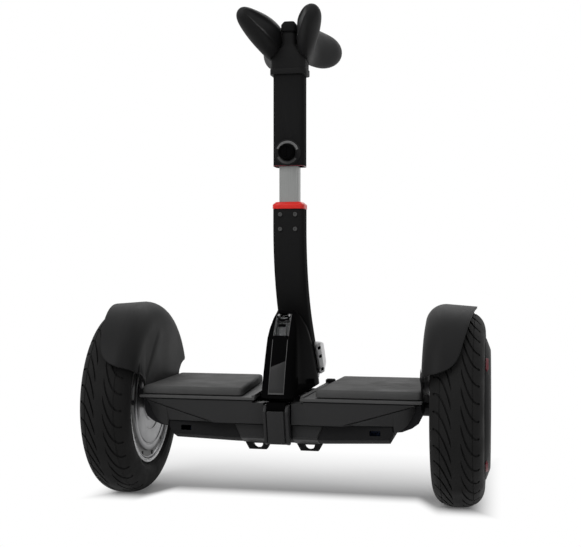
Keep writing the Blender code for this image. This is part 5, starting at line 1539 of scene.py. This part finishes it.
def nose_strip(heights, name, material, slot, node):
    rows = []
    for z in heights:
        y = at_height(HUMP_NOSE, z)
        rows.append([(x, y, z) for x in (-STRIP_EDGE, -STRIP_EDGE / 3, STRIP_EDGE / 3, STRIP_EDGE)])
    sheet = grid_through(rows)
    thicken(sheet, 0.0020, NOSE_OUTWARD, 0.0003)
    settle(sheet, name, material, "steering", slot, node)


nose_strip([0.1550, 0.1690, 0.1830, 0.2045, 0.2260, 0.2295], "nose_strip", GLOSSY_BLACK, "gloss_black",
           "front_panel")
nose_strip([0.2299, 0.2400, 0.2480, 0.2545, 0.2576], "lamp_cover", CLEAR_LENS, "clear_lens", "headlight_lens")
settle(refined("headlight_housing", 0.0003, 2), "lamp_housing", DULL_ALLOY_AND_SHADE, "steering", "gloss_black",
       "headlight_housing")
print("strip, cover and housing:", 3)


# %% Headlight strip: thin plates on it
def nose_plate(name, lift, material, *columns):
    """Each column is (x, lowest z, highest z), and the plate stands proud by the lift."""
    rows = []
    for step in range(7):
        heights = [low + (high - low) * step / 6 for x, low, high in columns]
        rows.append([(column[0], at_height(HUMP_NOSE, z) - lift, z) for column, z in zip(columns, heights)])
    plate = grid_through(rows)
    thicken(plate, 0.0006, NOSE_OUTWARD, 0.0001)
    settle(plate, name, material, "steering", "gloss_black")


INNER_EDGE = STRIP_EDGE - RAIL
nose_plate("nose_inlay", 0.0002, PANEL_PAINT, (-INNER_EDGE, 0.1572, 0.1895), (0.0, 0.1572, 0.1935),
           (INNER_EDGE, 0.1572, 0.1975))
nose_plate("nose_sill", 0.0004, GREY_TRIM_AND_HIGHLIGHT, (-INNER_EDGE, 0.1552, 0.1572), (INNER_EDGE, 0.1552, 0.1572))
nose_plate("lamp_brow", 0.0003, GLOSSY_BLACK, (-0.0075, 0.2505, 0.2530), (-0.0030, 0.2480, 0.2510),
           (0.0030, 0.2480, 0.2510), (0.0075, 0.2505, 0.2530))
nose_plate("lamp_block", 0.0003, GLOSSY_BLACK, (-0.0055, 0.2410, 0.2440), (0.0045, 0.2410, 0.2440))
for word, side in SIDES:
    low_x, high_x = sorted((side * STRIP_EDGE, side * INNER_EDGE))
    nose_plate(f"{word}_nose_rail", 0.0004, GREY_TRIM_AND_HIGHLIGHT, (low_x, 0.1552, 0.2575), (high_x, 0.1552, 0.2575))
    low_x, high_x = sorted((side * 0.0085, side * 0.0060))
    nose_plate(f"{word}_lamp_strip", 0.0003, SATIN_ALUMINIUM, (low_x, 0.2545, 0.2572),
               (high_x, 0.2545, 0.2572))
print("plates on the strip:", 4 + 2 * len(SIDES))

# %% [markdown]
# ## Upper tube, height knob and knee bracket
#
# The upper tube slides over the bare one and is fixed by the knob, which turns on a round scale with two
# printed arcs. The upper arc is lighter than the lower one, partly print and partly a painted highlight on
# the top of the ring. The bracket on the tube's top narrows to a neck that carries the pads. The tube, the
# bracket and the cap are rounded rectangles in section, so they share the post's section.

# %% Upper tube
KNOB_Z = 0.4770
UPPER_LOW = 0.4586
UPPER_HIGH = 0.5838
UPPER_BORE = (0.4500, 0.5750)
KNOB_STEM = 0.0043


def build_upper_tube():
    tube = straight_post(BAR_WIDTH - 0.0006, BAR_DEPTH, BAR_CORNER, UPPER_LOW, UPPER_HIGH)
    cut_with(tube, tube_bore(*UPPER_BORE), rod(KNOB_STEM, 0.030, (0.0, -0.0300, KNOB_Z), "Y", 32))
    bevel_edges(tube, 0.0003, 2, 50.0)
    settle(tube, "slider_tube", BLACK_PAINT, "upper", "painted_black", "upper_tube")
    trim = straight_post(BAR_WIDTH - 0.0003, BAR_DEPTH + 0.0003, BAR_CORNER + 0.0001, UPPER_LOW,
                         UPPER_LOW + 0.0008)
    cut_with(trim, tube_bore(*UPPER_BORE))
    settle(trim, "tube_trim", WINE_RED, "upper", "red_trim")


build_upper_tube()
print("upper tube and its trim:", 2)

# %% Height knob and its scale
TUBE_FACE = BAR_Y - BAR_DEPTH / 2 - 0.0003
SCALE_PROFILE = [(0.0109, 0.0), (0.0109, 0.0018), (0.0114, 0.0022), (0.0172, 0.0022), (0.0180, 0.0014),
                 (0.0180, 0.0)]
ARC_RADII = (0.0126, 0.0158)
# The upper arc's lighter grey is partly a painted highlight where light falls on the ring's top.
ARCS = ((15.0, 160.0, GREY_PRINT_AND_HIGHLIGHT), (205.0, 325.0, GREY_TRIM_AND_HIGHLIGHT))
ARC_STEPS = 24


def build_scale():
    points = [(0.0, TUBE_FACE - rise, KNOB_Z + radius) for radius, rise in SCALE_PROFILE]
    scale = spun(points, (0.0, 0.0, KNOB_Z), (0.0, 1.0, 0.0), 64)
    settle(scale, "knob_scale", BLACK_PLASTIC, "upper", "grey_print", "knob_ring")
    for number, (start, end, material) in enumerate(ARCS):
        angles = [radians(start + (end - start) * step / ARC_STEPS) for step in range(ARC_STEPS + 1)]
        arc = grid_through([[(radius * cos(angle), TUBE_FACE - 0.0023, KNOB_Z + radius * sin(angle))
                             for radius in ARC_RADII] for angle in angles])
        thicken(arc, 0.0003, (0.0, -1.0, 0.0))
        settle(arc, f"knob_mark_{number}", material, "upper", "grey_print")


build_scale()
settle(refined("height_knob", 0.0004), "clamp_knob", GLOSSY_BLACK, "height_knob", "gloss_black",
       "height_knob")
print("scale, arcs and knob:", 2 + len(ARCS))


# %% Knee bracket and cap
def build_bracket():
    bracket = post_piece([
        (0.0506, 0.0374, 0.0087, 0.5841), (0.0512, 0.0380, 0.0090, 0.5846), (0.0512, 0.0380, 0.0090, 0.5915),
        (0.0504, 0.0372, 0.0087, 0.5921), (0.0490, 0.0350, 0.0080, 0.5926), (0.0490, 0.0350, 0.0080, 0.6050),
        (0.0476, 0.0344, 0.0077, 0.6080), (0.0345, 0.0295, 0.0067, 0.6165), (0.0214, 0.0245, 0.0057, 0.6245),
        (0.0200, 0.0240, 0.0055, 0.6265), (0.0200, 0.0240, 0.0055, 0.6407)])
    settle(bracket, "pad_bracket", BLACK_PLASTIC, "upper", "moulded_black", "knee_bracket")
    cap = post_piece([
        (0.0170, 0.0230, 0.0045, 0.6410), (0.0170, 0.0230, 0.0045, 0.6432), (0.0211, 0.0266, 0.0053, 0.6436),
        (0.0215, 0.0270, 0.0055, 0.6442), (0.0215, 0.0270, 0.0055, 0.6520), (0.0206, 0.0262, 0.0052, 0.6532),
        (0.0152, 0.0214, 0.0038, 0.6567), (0.0143, 0.0206, 0.0035, 0.6572)])
    settle(cap, "bar_top_cap", BLACK_PAINT, "upper", "gloss_black", "top_cap")


build_bracket()
print("bracket and cap:", 2)

# %% [markdown]
# ## Knee pads
#
# Two soft rubber lobes flare out from the bracket to the front and to the rear. Each is a ring of points
# carried along a curved spine, wide where the knee presses and pinched where it meets the bracket. A
# shallow groove runs up the outer side near the front. The surface is subdivided, so it comes out full and
# round.

# %% Knee pads: the spine and the ring
PAD_SPINE = [
    (0.0475, -0.0965, 0.6545, 0.0060, 0.0065), (0.0455, -0.0880, 0.6520, 0.0120, 0.0120),
    (0.0425, -0.0750, 0.6485, 0.0155, 0.0160), (0.0325, -0.0480, 0.6415, 0.0165, 0.0230),
    (0.0235, -0.0200, 0.6330, 0.0130, 0.0280), (0.0213, 0.0080, 0.6300, 0.0115, 0.0290),
    (0.0255, 0.0350, 0.6305, 0.0130, 0.0285), (0.0345, 0.0600, 0.6300, 0.0155, 0.0275),
    (0.0435, 0.0800, 0.6320, 0.0155, 0.0235), (0.0495, 0.0940, 0.6340, 0.0105, 0.0155),
    (0.0510, 0.1000, 0.6350, 0.0050, 0.0080),
]
PAD_GROOVE = [0.0, 0.0024, 0.0044, 0.0040, 0.0014, 0.0, 0.0, 0.0, 0.0, 0.0, 0.0]
PAD_ANGLES = [(0, 0.0), (36, 0.0), (72, 0.0), (105, 0.0), (132, 0.0), (143, 0.0), (151, 0.1), (160, 0.8),
              (170, 1.0), (190, 1.0), (200, 0.8), (209, 0.1), (217, 0.0), (228, 0.0), (252, 0.0), (288, 0.0),
              (324, 0.0)]


def pad_ring(number, side):
    x, y, z, half_thick, half_high = PAD_SPINE[number]
    before = PAD_SPINE[max(number - 1, 0)]
    after = PAD_SPINE[min(number + 1, len(PAD_SPINE) - 1)]
    along = (Vector(after[:3]) - Vector(before[:3])).normalized()
    sideways = Vector((along.y, -along.x, 0.0)).normalized()
    upwards = along.cross(sideways)
    if upwards.z < 0:
        upwards.negate()
    ring = []
    for degrees, sunk in PAD_ANGLES:
        angle = radians(degrees)
        fuller = 0.25 * max(-sin(2 * angle), 0.0) if 270 < degrees < 360 and -0.06 < y < 0.02 else 0.0
        across = half_thick * cos(angle) * (1.0 + fuller) + PAD_GROOVE[number] * sunk
        height = half_high * sin(angle) * (1.0 + 0.6 * fuller)
        point = Vector((x, y, z)) + sideways * across + upwards * height
        ring.append((side * point.x, point.y, point.z))
    return ring + ring[:1]


# %% Knee pads: rounding, and room for the bracket
def build_pad(word, side):
    pad = grid_through([pad_ring(number, side) for number in range(len(PAD_SPINE))])
    close_seams(pad, fill=True)
    rounding = pad.modifiers.new("rounding", "SUBSURF")
    rounding.levels = 3
    rounding.render_levels = 3
    apply_modifiers(pad)
    cut_with(pad, post_piece([
        (0.0520, 0.0388, 0.0092, 0.5820), (0.0520, 0.0388, 0.0092, 0.5925),
        (0.0498, 0.0358, 0.0082, 0.5930), (0.0498, 0.0358, 0.0082, 0.6075),
        (0.0208, 0.0248, 0.0057, 0.6260), (0.0208, 0.0248, 0.0057, 0.6440)]))
    settle(pad, f"{word}_knee_pad", PAD_RUBBER, "upper", "pad_rubber", f"knee_pad_{word}", angle=50.0)


for word, side in SIDES:
    build_pad(word, side)
print("pads:", len(SIDES))
